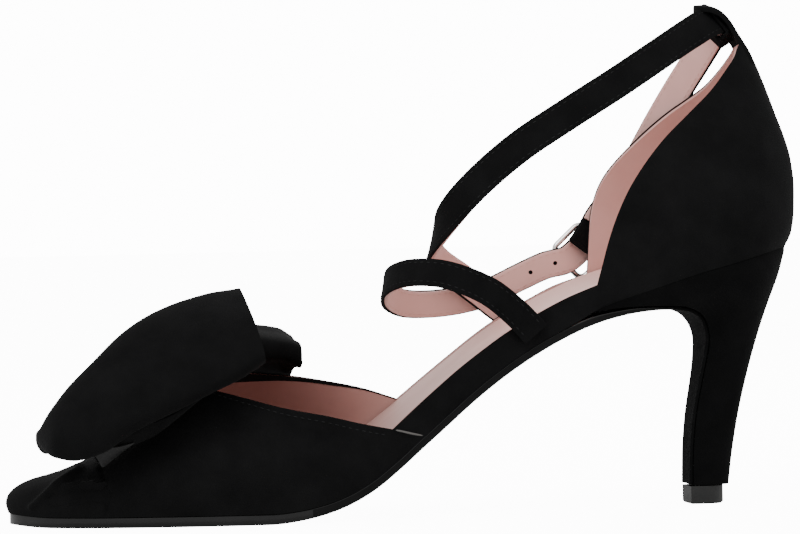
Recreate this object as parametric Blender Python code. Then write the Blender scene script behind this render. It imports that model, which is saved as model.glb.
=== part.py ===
# Stiletto-heel ankle-strap shoe with a bow, right foot.
#
# Working axes (millimetres): x runs from the toe tip back to the heel,
# y is negative on the medial (inner) side and positive on the lateral side,
# z is up from the floor.  Everything is moved at the end so that the origin
# lies at the bottom centre of the whole shoe, and scaled to metres.

import math

import bmesh
import bpy
import numpy as np

MM = 0.001

# ------------------------------------------------------------------ sizes
GAP = 0.3                 # clearance left between neighbouring pieces
WALL = 1.8                # suede outer plus leather lining
SOLE_FOREFOOT = 3.0       # outsole thickness under the ball
SOLE_WAIST = 2.3          # outsole thickness through the arch
SOLE_BREAST = 0.8         # outsole flap thickness on the heel breast
TREAD_START_X = 12.0      # flat forefoot tread, from here ...
TREAD_END_X = 72.0        # ... to here
THROAT_X = 52.0           # front end of the foot opening, on the ridge
RIDGE_START_X = 12.0      # where the toe dome meets the ridge line
VAMP_END_MEDIAL_X = 108.0   # vamp topline meets the low waist wall
VAMP_END_LATERAL_X = 119.0
COUNTER_MEDIAL_X = 169.5    # front edge of the tall heel counter
COUNTER_LATERAL_X = 175.6
HEEL_BACK_X = 229.3       # back of the bottom outline
BREAST_X = 188.0          # sole turns down the heel breast here
LIFT_HEIGHT = 5.2         # rubber top lift
STRAP_A_WIDTH = 8.3
STRAP_B_WIDTH = 8.8
STRAP_THICK = 2.0
ROWS = 8                  # rows of faces up each wall of the upper


class Table:
    """Rows with named columns; at() reads a column on a smooth curve."""

    def __init__(self, columns, rows):
        self.names = columns.split()
        self.data = np.array(rows, float)

    def column(self, name):
        return self.data[:, self.names.index(name)]

    def at(self, name, x):
        return monotone(self.column(self.names[0]), self.column(name), x)

    def points(self, *names):
        return np.stack([self.column(n) for n in names], 1)


def monotone(xs, ys, x):
    """Monotone cubic through (xs, ys): smooth, and never overshoots."""
    h = np.diff(xs)
    d = np.diff(ys) / h
    m = np.zeros(len(xs))
    m[0], m[-1] = d[0], d[-1]
    for k in range(1, len(xs) - 1):
        if d[k - 1] * d[k] > 0:
            w1, w2 = 2 * h[k] + h[k - 1], h[k] + 2 * h[k - 1]
            m[k] = (w1 + w2) / (w1 / d[k - 1] + w2 / d[k])
    x = min(max(x, xs[0]), xs[-1])
    k = min(int(np.searchsorted(xs, x, side="right")) - 1, len(xs) - 2)
    t = (x - xs[k]) / h[k]
    return ((2 * t ** 3 - 3 * t ** 2 + 1) * ys[k]
            + (t ** 3 - 2 * t ** 2 + t) * h[k] * m[k]
            + (3 * t ** 2 - 2 * t ** 3) * ys[k + 1]
            + (t ** 3 - t ** 2) * h[k] * m[k + 1])


def smooth_path(points, per_span=8, closed=False):
    """Centripetal Catmull-Rom curve through the points."""
    p = np.array(points, float)
    n = len(p)
    if closed:
        ext = [p[(k - 1) % n] for k in range(n + 3)]
    else:
        ext = [2 * p[0] - p[1]] + list(p) + [2 * p[-1] - p[-2]]
    out = []
    for k in range(len(ext) - 3):
        a, b, c, d = ext[k:k + 4]
        t = [0.0]
        for q, r in ((a, b), (b, c), (c, d)):
            t.append(t[-1] + max(np.linalg.norm(r - q), 1e-6) ** 0.5)
        for s in range(per_span):
            u = t[1] + (t[2] - t[1]) * s / per_span
            a1 = (t[1] - u) / (t[1] - t[0]) * a + (u - t[0]) / (t[1] - t[0]) * b
            a2 = (t[2] - u) / (t[2] - t[1]) * b + (u - t[1]) / (t[2] - t[1]) * c
            a3 = (t[3] - u) / (t[3] - t[2]) * c + (u - t[2]) / (t[3] - t[2]) * d
            b1 = (t[2] - u) / (t[2] - t[0]) * a1 + (u - t[0]) / (t[2] - t[0]) * a2
            b2 = (t[3] - u) / (t[3] - t[1]) * a2 + (u - t[1]) / (t[3] - t[1]) * a3
            out.append((t[2] - u) / (t[2] - t[1]) * b1 + (u - t[1]) / (t[2] - t[1]) * b2)
    if not closed:
        out.append(p[-1])
    return np.array(out)


def resample(path, count):
    """The same curve at evenly spaced points."""
    step = np.linalg.norm(np.diff(path, axis=0), axis=1)
    s = np.concatenate([[0], np.cumsum(step)])
    want = np.linspace(0, s[-1], count)
    return np.stack([np.interp(want, s, path[:, k]) for k in range(path.shape[1])], 1)


def lerp(a, b, t):
    return a + (b - a) * t


def bezier(p0, p1, p2, p3, t):
    return ((1 - t) ** 3 * p0 + 3 * (1 - t) ** 2 * t * p1
            + 3 * (1 - t) * t ** 2 * p2 + t ** 3 * p3)


# ----------------------------------------------------------- last, bottom
# Bottom outline of the last: half breadths either side of the centre line.
LAST = Table("x med lat", [
    (1.2, -6.5, -6.5),
    (2.6, -11.5, -1.5),
    (5.5, -16.0, 3.0),
    (10.5, -21.0, 8.0),
    (20.0, -27.0, 15.0),
    (30.0, -31.0, 21.0),
    (45.0, -35.0, 27.5),
    (60.0, -37.6, 32.0),
    (75.0, -38.6, 34.6),
    (90.0, -37.4, 35.8),
    (105.0, -32.6, 34.8),
    (120.0, -26.6, 32.0),
    (140.0, -20.6, 28.2),
    (155.0, -19.6, 26.3),
    (170.0, -21.4, 25.6),
    (185.0, -24.0, 25.8),
    (200.0, -25.4, 25.8),
    (210.0, -24.2, 24.4),
    (218.5, -19.4, 19.6),
    (225.0, -12.2, 12.4),
    (228.4, -5.6, 5.8),
    (HEEL_BACK_X, 0.0, 0.0),
])

# Underside of the outsole along the foot: tread, arch and heel seat.
SOLE_LINE = Table("x z", [
    (0.0, 0.9), (4.0, 0.45), (8.0, 0.12), (TREAD_START_X, 0.0),
    (TREAD_END_X, 0.0), (80.0, 0.8), (88.0, 2.5), (95.0, 4.9), (102.0, 8.4),
    (110.0, 14.0), (117.0, 19.5), (125.0, 25.8), (132.0, 31.4),
    (140.0, 37.3), (147.0, 42.0), (154.0, 46.2), (161.0, 49.9),
    (168.0, 53.0), (175.0, 55.1), (182.0, 56.4), (BREAST_X, 56.9),
])

# Seam between upper and heel, over the heel seat.
SEAT_LINE = Table("x z", [
    (160.0, 52.6), (165.0, 55.3), (172.0, 58.6), (185.0, 62.9),
    (200.0, 67.6), (210.0, 70.1), (217.0, 71.8), (224.0, 73.4),
    (232.0, 74.9),
])


def outline_sides():
    """Dense medial and lateral curves from toe tip to heel back."""
    med = LAST.points("x", "med")
    lat = LAST.points("x", "lat")
    loop = np.concatenate([med, lat[-2:0:-1]])
    dense = smooth_path(loop, 24, closed=True)
    cut = (len(med) - 1) * 24
    back = np.concatenate([dense[cut:], dense[:1]])[::-1]
    return {"med": dense[:cut + 1], "lat": back}


OUTLINE = outline_sides()
ARC = {}
for _side, _pts in OUTLINE.items():
    _step = np.linalg.norm(np.diff(_pts, axis=0), axis=1)
    ARC[_side] = np.concatenate([[0], np.cumsum(_step)])


def at_arc(side, s):
    p = OUTLINE[side]
    return np.array([np.interp(s, ARC[side], p[:, 0]), np.interp(s, ARC[side], p[:, 1])])


def arc_of_x(side, x):
    return float(np.interp(x, OUTLINE[side][:, 0], ARC[side]))


def outward(side, s):
    """Unit normal of the outline in plan, pointing out of the foot."""
    d = at_arc(side, min(s + 0.6, ARC[side][-1])) - at_arc(side, max(s - 0.6, 0.0))
    d = d / np.linalg.norm(d)
    return np.array([d[1], -d[0]]) if side == "med" else np.array([-d[1], d[0]])


def inset_sides(distance):
    """The outline moved inwards by a distance, as y against x."""
    out = {}
    for side, pts in OUTLINE.items():
        s = ARC[side]
        q = np.array([pts[k] - outward(side, s[k]) * distance for k in range(len(pts))])
        keep = np.concatenate([[True], np.diff(np.maximum.accumulate(q[:, 0])) > 1e-9])
        out[side] = q[keep]
    return out


def inset_y(table, side, x):
    q = table[side]
    return float(np.interp(x, q[:, 0], q[:, 1]))


def sole_thickness(x):
    """Full under the ball, thinner at the waist, a thin flap at the breast."""
    if x > 168:
        return lerp(SOLE_WAIST, SOLE_BREAST, min((x - 168) / (BREAST_X - 168), 1.0))
    return lerp(SOLE_FOREFOOT, SOLE_WAIST, min(max((x - 70.0) / 40.0, 0.0), 1.0))


def sole_bottom(x):
    return SOLE_LINE.at("z", x)


def sole_slope(x):
    return (sole_bottom(min(x + 1, BREAST_X)) - sole_bottom(max(x - 1, 0))) / 2


def sole_top(x):
    """Upper face of the outsole; its thickness is square to the arch."""
    return sole_bottom(x) + sole_thickness(x) * math.sqrt(1 + sole_slope(x) ** 2)


def feather(x):
    """Lower edge of the upper: on the sole in front, on the heel behind."""
    on_sole = sole_top(min(x, BREAST_X)) + GAP * 1.25
    if x < 160:
        return on_sole
    seat = SEAT_LINE.at("z", x)
    if x < 170:
        t = (x - 160) / 10
        t = t * t * (3 - 2 * t)
        return lerp(on_sole, max(on_sole, seat), t)
    return max(on_sole, seat) if x < 175 else seat


# --------------------------------------------------------- last, surfaces
# Ridge of the closed forefoot, from the toe dome up to the throat.
RIDGE = Table("x y z", [
    (RIDGE_START_X, -5.6, 14.4), (20.0, -5.0, 16.8), (28.0, -4.6, 20.2),
    (36.0, -4.3, 25.0), (44.0, -4.1, 31.0), (THROAT_X, -4.0, 38.0),
])

# Topline of the vamp: where each wall column that starts at foot_x ends,
# and how steeply the wall leans there (0 lies flat, 90 stands upright).
TOPLINE = {
    "med": Table("foot_x x y z lean", [
        (THROAT_X, THROAT_X, -4.0, 38.0, 0),
        (58.0, 54.0, -12.5, 38.6, 20),
        (64.0, 58.5, -20.0, 37.6, 38),
        (71.0, 66.5, -27.0, 35.4, 55),
        (80.0, 77.0, -32.0, 32.4, 68),
        (90.0, 88.5, -34.4, 30.0, 78),
        (99.0, 98.4, -33.8, 27.5, 84),
        (VAMP_END_MEDIAL_X, VAMP_END_MEDIAL_X, -31.4, 25.5, 88),
    ]),
    "lat": Table("foot_x x y z lean", [
        (THROAT_X, THROAT_X, -4.0, 38.0, 0),
        (58.0, 54.5, 5.0, 40.0, 16),
        (64.0, 59.0, 13.0, 41.2, 32),
        (71.0, 66.5, 20.0, 41.4, 48),
        (80.0, 76.5, 26.5, 40.6, 62),
        (90.0, 88.0, 31.2, 39.2, 73),
        (100.0, 99.0, 33.4, 37.2, 80),
        (110.0, 109.6, 33.6, 34.8, 86),
        (VAMP_END_LATERAL_X, VAMP_END_LATERAL_X, 32.2, 31.6, 89),
    ]),
}

# Top of the low waist wall, which the footbed comes level with.
WAIST_TOP = {
    "med": Table("x z", [
        (VAMP_END_MEDIAL_X, 25.5), (114.0, 30.4), (121.4, 36.3), (129.0, 42.1),
        (136.5, 47.3), (144.0, 52.2), (154.0, 57.7), (161.0, 61.2),
        (COUNTER_MEDIAL_X, 64.6)]),
    "lat": Table("x z", [
        (VAMP_END_LATERAL_X, 31.6), (127.0, 38.2), (134.0, 43.9), (141.0, 49.4),
        (148.0, 54.3), (159.0, 60.6), (166.0, 64.0),
        (COUNTER_LATERAL_X, 67.0)]),
}

# Heel part of the last by height: back profile, half breadth, and the x of
# the greatest breadth, forward of which the counter wall runs on.
BACKPART = Table("z back half wide_x", [
    (50.0, 226.0, 25.8, 200.0), (74.0, 229.1, 25.8, 200.0),
    (78.0, 230.6, 26.0, 200.0), (85.0, 231.7, 26.0, 200.0),
    (92.0, 232.0, 25.4, 200.0), (99.0, 231.5, 23.8, 199.5),
    (106.0, 229.9, 21.4, 199.5), (112.0, 227.9, 18.6, 200.0),
    (119.0, 225.4, 15.0, 204.0), (126.0, 222.6, 11.2, 209.0),
    (130.0, 220.7, 9.0, 211.4), (134.0, 218.1, 7.4, 212.4),
])

# Collar line of the counter against the fraction of the way round to the
# back seam: up the front edge, along the side, and over the back tab.
COLLAR = {
    "med": Table("t x z", [
        (0.00, 0.0, 0.0),
        (0.07, 1.6, 5.6), (0.15, 3.5, 12.4), (0.23, 6.0, 19.4),
        (0.31, 9.4, 26.4), (0.39, 14.2, 33.4), (0.48, 20.6, 40.6),
        (0.58, 28.4, 47.4), (0.68, 36.0, 54.0), (0.77, 41.2, 59.8),
        (0.86, 44.6, 63.9), (0.93, 46.2, 66.6), (1.00, 48.6, 68.0)]),
    "lat": Table("t x z", [
        (0.00, 0.0, 0.0),
        (0.09, 0.7, 9.0), (0.17, 1.4, 16.8), (0.23, 2.5, 21.6),
        (0.28, 4.0, 25.6), (0.33, 5.9, 29.0), (0.40, 9.4, 33.4),
        (0.48, 14.6, 38.6), (0.57, 19.9, 43.5), (0.66, 24.5, 47.2),
        (0.75, 29.2, 50.4), (0.84, 34.6, 54.4), (0.92, 39.4, 60.2),
        (1.00, 43.4, 67.0)]),
}
TAB_TOP = (218.1, 134.0)

ZONE_STEPS = {"toe": 13, "vamp": 10, "waist": 8, "counter": 17}


def backpart_point(side, eta, z):
    """Point of the heel part of the last at height z.

    eta 0 is the widest point, 1 the back seam, and negative forward of it.
    """
    wide = BACKPART.at("wide_x", z)
    back = BACKPART.at("back", z)
    half = BACKPART.at("half", z)
    if eta >= 0:
        x = lerp(wide, back, eta)
        y = half * max(1 - eta ** 2.25, 0.0) ** (1 / 2.05)
    else:
        x = wide + 40 * eta
        y = half * (1 - (0.30 if side == "med" else 0.02) * eta * eta)
    return np.array([x, -y if side == "med" else y, z])


def backpart_eta(x, z):
    wide = BACKPART.at("wide_x", z)
    back = BACKPART.at("back", z)
    return min((x - wide) / (back - wide), 1.0) if x > wide else (x - wide) / 40


def wall_column(side, zone, t, rows=ROWS):
    """One column of points of the upper, from feather edge to top edge."""
    lat = side == "lat"
    ends = {
        "toe": (0.0, arc_of_x(side, THROAT_X)),
        "vamp": (arc_of_x(side, THROAT_X),
                 arc_of_x(side, VAMP_END_LATERAL_X if lat else VAMP_END_MEDIAL_X)),
        "waist": (arc_of_x(side, VAMP_END_LATERAL_X if lat else VAMP_END_MEDIAL_X),
                  arc_of_x(side, COUNTER_LATERAL_X if lat else COUNTER_MEDIAL_X)),
        "counter": (arc_of_x(side, COUNTER_LATERAL_X if lat else COUNTER_MEDIAL_X),
                    ARC[side][-1]),
    }[zone]
    s = lerp(ends[0], ends[1], t ** 1.35 if zone == "toe" else t)
    foot = at_arc(side, s)
    out = outward(side, s)
    base = np.array([foot[0], foot[1], feather(foot[0])])
    grow = np.linspace(0, 1, rows + 1)
    if zone == "toe":
        rx = lerp(RIDGE_START_X, THROAT_X, t)
        top = np.array([rx, RIDGE.at("y", rx), RIDGE.at("z", rx)])
        slope = (RIDGE.at("z", rx + 1) - RIDGE.at("z", rx - 1)) / 2
        if t == 0:
            slope = 0.42
        flat = (base - top)[:2]
        h2 = np.array([flat[0] * 0.52, flat[1] * 0.52, flat[0] * 0.52 * slope])
        puff = lerp(3.2, 1.7, min(t * 3.0, 1.0))
        h1 = np.array([out[0] * puff, out[1] * puff, 0.60 * (top[2] - base[2])])
        return [bezier(base, base + h1, top + h2, top, v) for v in grow]
    if zone == "vamp":
        line = TOPLINE[side]
        top = np.array([line.at(n, foot[0]) for n in ("x", "y", "z")])
        lean = math.radians(line.at("lean", foot[0]))
        flat = (base - top)[:2]
        flat = flat / max(np.linalg.norm(flat), 1e-6)
        reach = 0.42 * np.linalg.norm(base - top)
        toward = lerp(flat, np.array([0.0, 1.0 if lat else -1.0]), 0.25)
        h2 = np.array([toward[0] * math.cos(lean), toward[1] * math.cos(lean),
                       -math.sin(lean)]) * reach
        puff = lerp(1.7, 0.6, t)
        h1 = np.array([out[0] * puff, out[1] * puff, 0.50 * (top[2] - base[2])])
        return [bezier(base, base + h1, top + h2, top, v) for v in grow]
    if zone == "waist":
        top = np.array([foot[0], foot[1], WAIST_TOP[side].at("z", foot[0])])
        bulge = np.array([out[0], out[1], 0.0]) * 0.35
        return [lerp(base, top, v) + bulge * math.sin(math.pi * v) for v in grow]
    front_x = COUNTER_LATERAL_X if lat else COUNTER_MEDIAL_X
    corner = WAIST_TOP[side].at("z", front_x)
    line = COLLAR[side]
    xt = lerp(front_x, TAB_TOP[0], line.at("x", t) / line.at("x", 1.0))
    zt = lerp(corner, TAB_TOP[1], line.at("z", t) / line.at("z", 1.0))
    eta0 = backpart_eta(foot[0], base[2])
    eta1 = 1.0 if t == 1 else backpart_eta(xt, zt)
    if t == 1:
        eta0 = 1.0
    start = backpart_point(side, eta0, base[2])
    pts = []
    for v in grow:
        z = lerp(base[2], zt, v)
        p = backpart_point(side, lerp(eta0, eta1, v), z)
        p = p + (base - start) * (1 - v) ** 2
        if t == 1:
            p[1] = 0.0
        pts.append(p)
    return pts


def upper_columns(side, rows=ROWS, steps=ZONE_STEPS):
    cols = []
    for zone in ("toe", "vamp", "waist", "counter"):
        n = steps[zone]
        for k in range(n):
            cols.append(wall_column(side, zone, k / n, rows))
    cols.append(wall_column(side, "counter", 1.0, rows))
    return np.array(cols)


def build_upper():
    """One hollow shell, open at throat and collar and under the foot."""
    cols = {s: upper_columns(s) for s in ("med", "lat")}
    last = len(cols["med"]) - 1
    closed = ZONE_STEPS["toe"]
    index, verts = {}, []

    def key(side, i, j):
        shared = i == 0 or i == last or (j == ROWS and i <= closed)
        return ("mid" if shared else side, i, j)

    for side in ("med", "lat"):
        for i in range(last + 1):
            for j in range(ROWS + 1):
                k = key(side, i, j)
                if k not in index:
                    index[k] = len(verts)
                    verts.append(cols[side][i][j])
    faces = []
    for side in ("med", "lat"):
        for i in range(last):
            for j in range(ROWS):
                q = [index[key(side, *c)] for c in
                     ((i, j), (i + 1, j), (i + 1, j + 1), (i, j + 1))]
                q = [v for n, v in enumerate(q) if v != q[n - 1]]
                faces.append(q if side == "med" else q[::-1])
    outer = np.array(verts)
    normal = np.zeros_like(outer)
    for f in faces:
        p = outer[f]
        c = np.zeros(3)
        for n in range(len(f)):
            c += np.cross(p[n], p[(n + 1) % len(f)])
        for v in f:
            normal[v] += c
    normal /= np.linalg.norm(normal, axis=1)[:, None]
    inner = outer - normal * WALL
    for (side, i, j), v in index.items():
        if j == 0:
            flat = normal[v][:2] / np.linalg.norm(normal[v][:2])
            x, y = outer[v][:2] - flat * WALL
            inner[v] = (x, y, feather(x))
    count = len(outer)
    solid = [list(f) for f in faces] + [[v + count for v in f[::-1]] for f in faces]
    foot, top = [], []
    for side in ("med", "lat"):
        ring = [index[key(side, i, 0)] for i in range(last + 1)]
        rim = [index[key(side, i, ROWS)] for i in range(closed, last + 1)]
        for line, store, flip in ((ring, foot, side == "lat"), (rim, top, side == "med")):
            for a, b in zip(line[:-1], line[1:]):
                q = [a, a + count, b + count, b]
                store.append(q[::-1] if flip else q)
    return np.concatenate([outer, inner]), solid + foot + top


# ------------------------------------------------------------ loft helper
def loft(sections, close_ends=True):
    """Skin through sections of equal point counts, with both ends capped."""
    sec = [np.array(s, float) for s in sections]
    n = len(sec[0])
    verts = np.concatenate(sec)
    faces = []
    for k in range(len(sec) - 1):
        for j in range(n):
            a, b = k * n + j, k * n + (j + 1) % n
            faces.append([a, b, b + n, a + n])
    if close_ends:
        faces.append(list(range(n))[::-1])
        faces.append([(len(sec) - 1) * n + j for j in range(n)])
    return verts, faces


# ----------------------------------------------------------------- insole
# Footbed surface along the edges, before it meets the waist wall.
FOOTBED = Table("x med lat", [
    (3.0, 6.9, 6.9), (40.0, 6.9, 6.9), (62.0, 7.1, 7.1), (72.0, 7.9, 7.8),
    (80.0, 9.7, 9.3), (88.0, 13.0, 11.8), (96.0, 17.6, 15.4),
    (102.0, 21.4, 18.8), (108.0, 25.2, 22.8), (114.0, 30.1, 27.4),
    (119.0, 34.1, 31.3), (127.0, 40.3, 37.9), (134.0, 45.3, 43.5),
    (141.0, 50.0, 49.0), (148.0, 54.2, 53.8), (159.0, 60.0, 60.2),
    (166.0, 62.9, 63.4), (172.0, 65.2, 66.0), (185.0, 69.4, 69.8),
    (200.0, 73.0, 73.2), (215.0, 75.6, 75.6), (228.0, 76.8, 76.8),
])
FOOTBED_CUP = 0.9


def build_insole():
    edge = inset_sides(WALL + GAP + 0.35)
    x0 = edge["med"][0][0] + 0.15
    x1 = edge["med"][-1][0] - 0.15
    t = np.linspace(0, 1, 33)
    xs = x0 + (x1 - x0) * (t - 0.55 * np.sin(2 * math.pi * t) / (2 * math.pi))
    across = np.array([-1.0, -0.6, 0.0, 0.6, 1.0])
    sections = []
    for x in xs:
        ym, yl = inset_y(edge, "med", x), inset_y(edge, "lat", x)
        mid, half = (ym + yl) / 2, (yl - ym) / 2
        low, high = [], []
        for a in across:
            y = mid + half * a
            top = lerp(FOOTBED.at("med", x), FOOTBED.at("lat", x), (a + 1) / 2)
            top -= FOOTBED_CUP * (1 - a * a)
            high.append((x, y, top))
            low.append((x, y, feather(x)))
        sections.append(low + high[::-1])
    return loft(sections)


# ---------------------------------------------------------------- outsole
# The sole's underside where it turns and runs down the heel breast.
BREAST_LINE = Table("row x z half", [
    (0, BREAST_X, 56.9, 20.0), (1, 193.3, 56.8, 17.3), (2, 198.1, 55.4, 14.6),
    (3, 201.5, 52.3, 12.5), (4, 203.2, 47.6, 10.4), (5, 201.9, 38.0, 7.7),
    (6, 199.9, 27.0, 6.6), (7, 198.8, 15.5, 6.1), (8, 198.7, 5.8, 5.8),
])


def breast_at(row):
    """Point, downward-outward tangent and half breadth on the breast."""
    p = np.array([BREAST_LINE.at("x", row), BREAST_LINE.at("z", row)])
    a, b = max(row - 0.05, 0), min(row + 0.05, 8)
    d = np.array([BREAST_LINE.at("x", b) - BREAST_LINE.at("x", a),
                  BREAST_LINE.at("z", b) - BREAST_LINE.at("z", a)])
    d /= np.linalg.norm(d)
    return p, d, BREAST_LINE.at("half", row)


def build_outsole():
    edge = inset_sides(0.7)
    x0 = edge["med"][0][0] + 0.6
    front = x0 + (TREAD_START_X - x0) * np.array([0, 0.03, 0.1, 0.22, 0.4, 0.65]) 
    xs = list(front) + list(np.linspace(TREAD_START_X, TREAD_END_X, 9))
    xs += list(np.linspace(TREAD_END_X + 4, BREAST_X, 30))
    sections = []
    for x in xs:
        ym, yl = inset_y(edge, "med", x), inset_y(edge, "lat", x)
        narrow = min(max((x - 163.0) / (BREAST_X - 163.0), 0.0), 1.0)
        narrow = narrow * narrow * (3 - 2 * narrow)
        ym, yl = lerp(ym, -20.0, narrow), lerp(yl, 20.0, narrow)
        low, high = sole_bottom(x), sole_top(x)
        sections.append([(x, ym, low), (x, yl, low), (x, yl, high), (x, ym, high)])
    for row in np.linspace(0.5, 8, 16):
        p, d, half = breast_at(row)
        n = np.array([-d[1], d[0]])
        q = p + n * SOLE_BREAST
        sections.append([(p[0], -half, p[1]), (p[0], half, p[1]),
                         (q[0], half, q[1]), (q[0], -half, q[1])])
    return loft(sections)


# ------------------------------------------------------------------- heel
# Heel rings from the lift up: breast row, back edge, breadths, seat share.
HEEL = Table("ring breast back_x back_z half_mid seat", [
    (0, 8.00, 210.8, 5.5, 6.8, 0.00),
    (1, 7.00, 212.1, 15.0, 7.3, 0.00),
    (2, 6.00, 213.9, 26.0, 8.1, 0.00),
    (3, 5.00, 216.7, 38.0, 9.7, 0.00),
    (4, 4.10, 219.3, 47.5, 11.8, 0.04),
    (5, 3.30, 221.9, 55.5, 14.2, 0.12),
    (6, 2.50, 224.3, 61.5, 17.0, 0.28),
    (7, 1.60, 226.4, 66.5, 20.0, 0.50),
    (8, 0.60, 228.0, 70.5, 22.8, 0.76),
])
WEDGE_TIP_X = 168.5


def d_half(u, front, mid):
    """Half breadth of a D-shaped ring: flat breast, round back."""
    if u < 0.45:
        return lerp(front, mid, math.sin(math.pi / 2 * u / 0.45))
    return mid * math.sqrt(max(1 - ((u - 0.45) / 0.55) ** 2.2, 0.0))


def seat_z(x):
    return feather(x) - GAP


def build_heel():
    edge = inset_sides(0.15)
    steps = 9
    us = [1 - (1 - k / steps) ** 1.7 for k in range(steps + 1)]
    sections = []
    back_top = edge["med"][-1][0] - 0.1
    tip = np.array([WEDGE_TIP_X, seat_z(WEDGE_TIP_X)])
    top_back = np.array([back_top, seat_z(back_top)])
    for ring in range(11):
        if ring < 9:
            row = HEEL.at("breast", ring)
            p, d, half = breast_at(row)
            f = p + np.array([-d[1], d[0]]) * (SOLE_BREAST + GAP)
            b = np.array([HEEL.at("back_x", ring), HEEL.at("back_z", ring)])
            mid, share = HEEL.at("half_mid", ring), HEEL.at("seat", ring)
            if ring == 0:
                f[1] = b[1]
        elif ring == 9:
            x = 179.0
            f = np.array([x, sole_top(x) + GAP + 0.25])
            b = lerp(np.array([228.4, 70.5]), top_back, 0.55)
            half, mid, share = 21.0, 24.0, 0.92
        else:
            f, b = tip, top_back
            half, mid, share = 21.4, 25.4, 1.0
        med, lat = [], []
        for u in us:
            q = lerp(f, b, u)
            xt = lerp(tip[0], top_back[0], u)
            chord = lerp(tip[1], top_back[1], u)
            q = q + np.array([0, (seat_z(xt) - chord) * share])
            dm = -d_half(u, half, mid)
            om, ol = inset_y(edge, "med", xt), inset_y(edge, "lat", xt)
            if u == 1:
                om = ol = 0.0
            med.append((q[0], lerp(dm, om, share), q[1]))
            lat.append((q[0], lerp(-dm, ol, share), q[1]))
        sections.append(med + lat[-2::-1])
    verts, faces = loft(sections, close_ends=False)
    n = 2 * steps + 1
    for base, flip in ((0, False), ((len(sections) - 1) * n, True)):
        for k in range(steps):
            a, b = base + k, base + k + 1
            c, d = base + n - 2 - k, base + n - 1 - k
            q = [a, b, c, d] if b != c else [a, b, d]
            faces.append(q[::-1] if flip else q)
    return verts, faces


def build_lift():
    """Rubber top lift, a little proud of the heel all round."""
    p, d, half = breast_at(8.0)
    x0, x1, proud = p[0] + 0.5, 209.2, 0.25
    us = [1 - (1 - k / 9) ** 1.7 for k in range(10)]
    rings = []
    for z, grow in ((0.0, -0.2), (0.5, proud), (LIFT_HEIGHT, proud)):
        med = [(lerp(x0 - grow, x1 + grow, u), -(d_half(u, half, 6.3) + grow * (u < 1)), z)
               for u in us]
        lat = [(x, -y, zz) for x, y, zz in med]
        med[-1] = (x1 + grow, 0.0, z)
        rings.append(med + lat[-2::-1])
    return loft(rings)


# ----------------------------------------------------------------- straps
# Centre lines of the two ankle straps, and how far each face tips upward.
STRAP_A = Table("row x y z tip", [
    (0, 151.8, -22.1, 50.3, 0.0), (1, 147.6, -22.2, 55.2, 0.0),
    (2, 143.0, -23.6, 59.4, 0.1), (3, 137.5, -25.6, 63.4, 0.2),
    (4, 130.5, -27.0, 66.7, 0.3), (5, 123.3, -26.0, 68.9, 0.4),
    (6, 117.0, -21.0, 69.5, 0.4), (7, 113.3, -12.0, 68.3, 0.3),
    (8, 112.4, 0.0, 66.0, 0.2), (9, 114.8, 11.0, 62.8, 0.1),
    (10, 120.2, 19.5, 60.4, 0.1), (11, 128.4, 26.0, 59.6, 0.1),
    (12, 138.0, 30.3, 60.0, 0.0), (13, 147.4, 31.7, 62.2, 0.0),
    (14, 156.6, 31.0, 66.4, 0.0), (15, 164.2, 28.6, 69.8, 0.0),
])
STRAP_B = Table("row x y z tip", [
    (0, 160.0, 29.0, 49.6, 0.0), (1, 155.0, 29.1, 54.2, 0.0),
    (2, 149.9, 28.6, 57.8, 0.0), (3, 144.6, 27.1, 61.8, 0.0),
    (4, 138.0, 24.0, 66.6, 0.05), (5, 130.8, 18.6, 71.4, 0.1),
    (6, 127.2, 9.5, 75.0, 0.2), (7, 126.3, -1.5, 78.6, 0.2),
    (8, 127.3, -11.0, 83.3, 0.1), (9, 131.3, -19.0, 89.9, 0.0),
    (10, 137.7, -23.4, 96.8, 0.0), (11, 147.3, -25.4, 104.7, 0.0),
    (12, 161.4, -25.0, 113.6, 0.0), (13, 176.1, -22.4, 122.2, 0.1),
    (14, 188.7, -17.6, 129.7, 0.2), (15, 199.4, -11.6, 135.8, 0.4),
    (16, 206.6, -5.6, 139.2, 0.7), (17, 210.2, 0.6, 139.4, 0.8),
    (18, 210.6, 6.0, 136.6, 0.6), (19, 208.2, 11.4, 131.0, 0.35),
    (20, 203.3, 18.5, 121.6, 0.15), (21, 197.9, 23.4, 111.2, 0.05),
    (22, 193.2, 27.2, 101.6, 0.0), (23, 188.0, 29.3, 92.2, 0.0),
])
ANKLE_A = (152.0, 40.0, 28.0)      # centre x and half axes used for facing
ANKLE_B = (168.0, 43.0, 27.0)

# Buckle seat: centre, slope of the strap there, and sizes.
BUCKLE_AT = (174.8, 28.4, 73.7)
BUCKLE_SLOPE = math.radians(43)
BUCKLE_INNER = (9.8, 10.8)        # along and across the strap
BUCKLE_WIRE = 1.7


def buckle_frame():
    """Axes at the buckle: along the strap, across it, and outward."""
    u = np.array([math.cos(BUCKLE_SLOPE), 0.0, math.sin(BUCKLE_SLOPE)])
    n = np.array([0.0, 1.0, 0.0])
    return np.array(BUCKLE_AT), u, np.cross(n, u), n


def buckle_point(along, out=0.0, across=0.0):
    o, u, v, n = buckle_frame()
    return o + u * along + v * across + n * out


def facing(p, tangent, ankle, tip):
    """Outward unit normal of a strap lying round the ankle."""
    cx, a, b = ankle
    n = np.array([(p[0] - cx) / a ** 2, p[1] / b ** 2, 0.0])
    n /= np.linalg.norm(n)
    n[2] = tip
    n -= tangent * np.dot(n, tangent)
    return n / np.linalg.norm(n)


def tangents(path):
    t = np.gradient(path, axis=0)
    return t / np.linalg.norm(t, axis=1)[:, None]


FREE_END_LIFT = 3.1        # free end of strap a over strap b, behind the buckle


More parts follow.
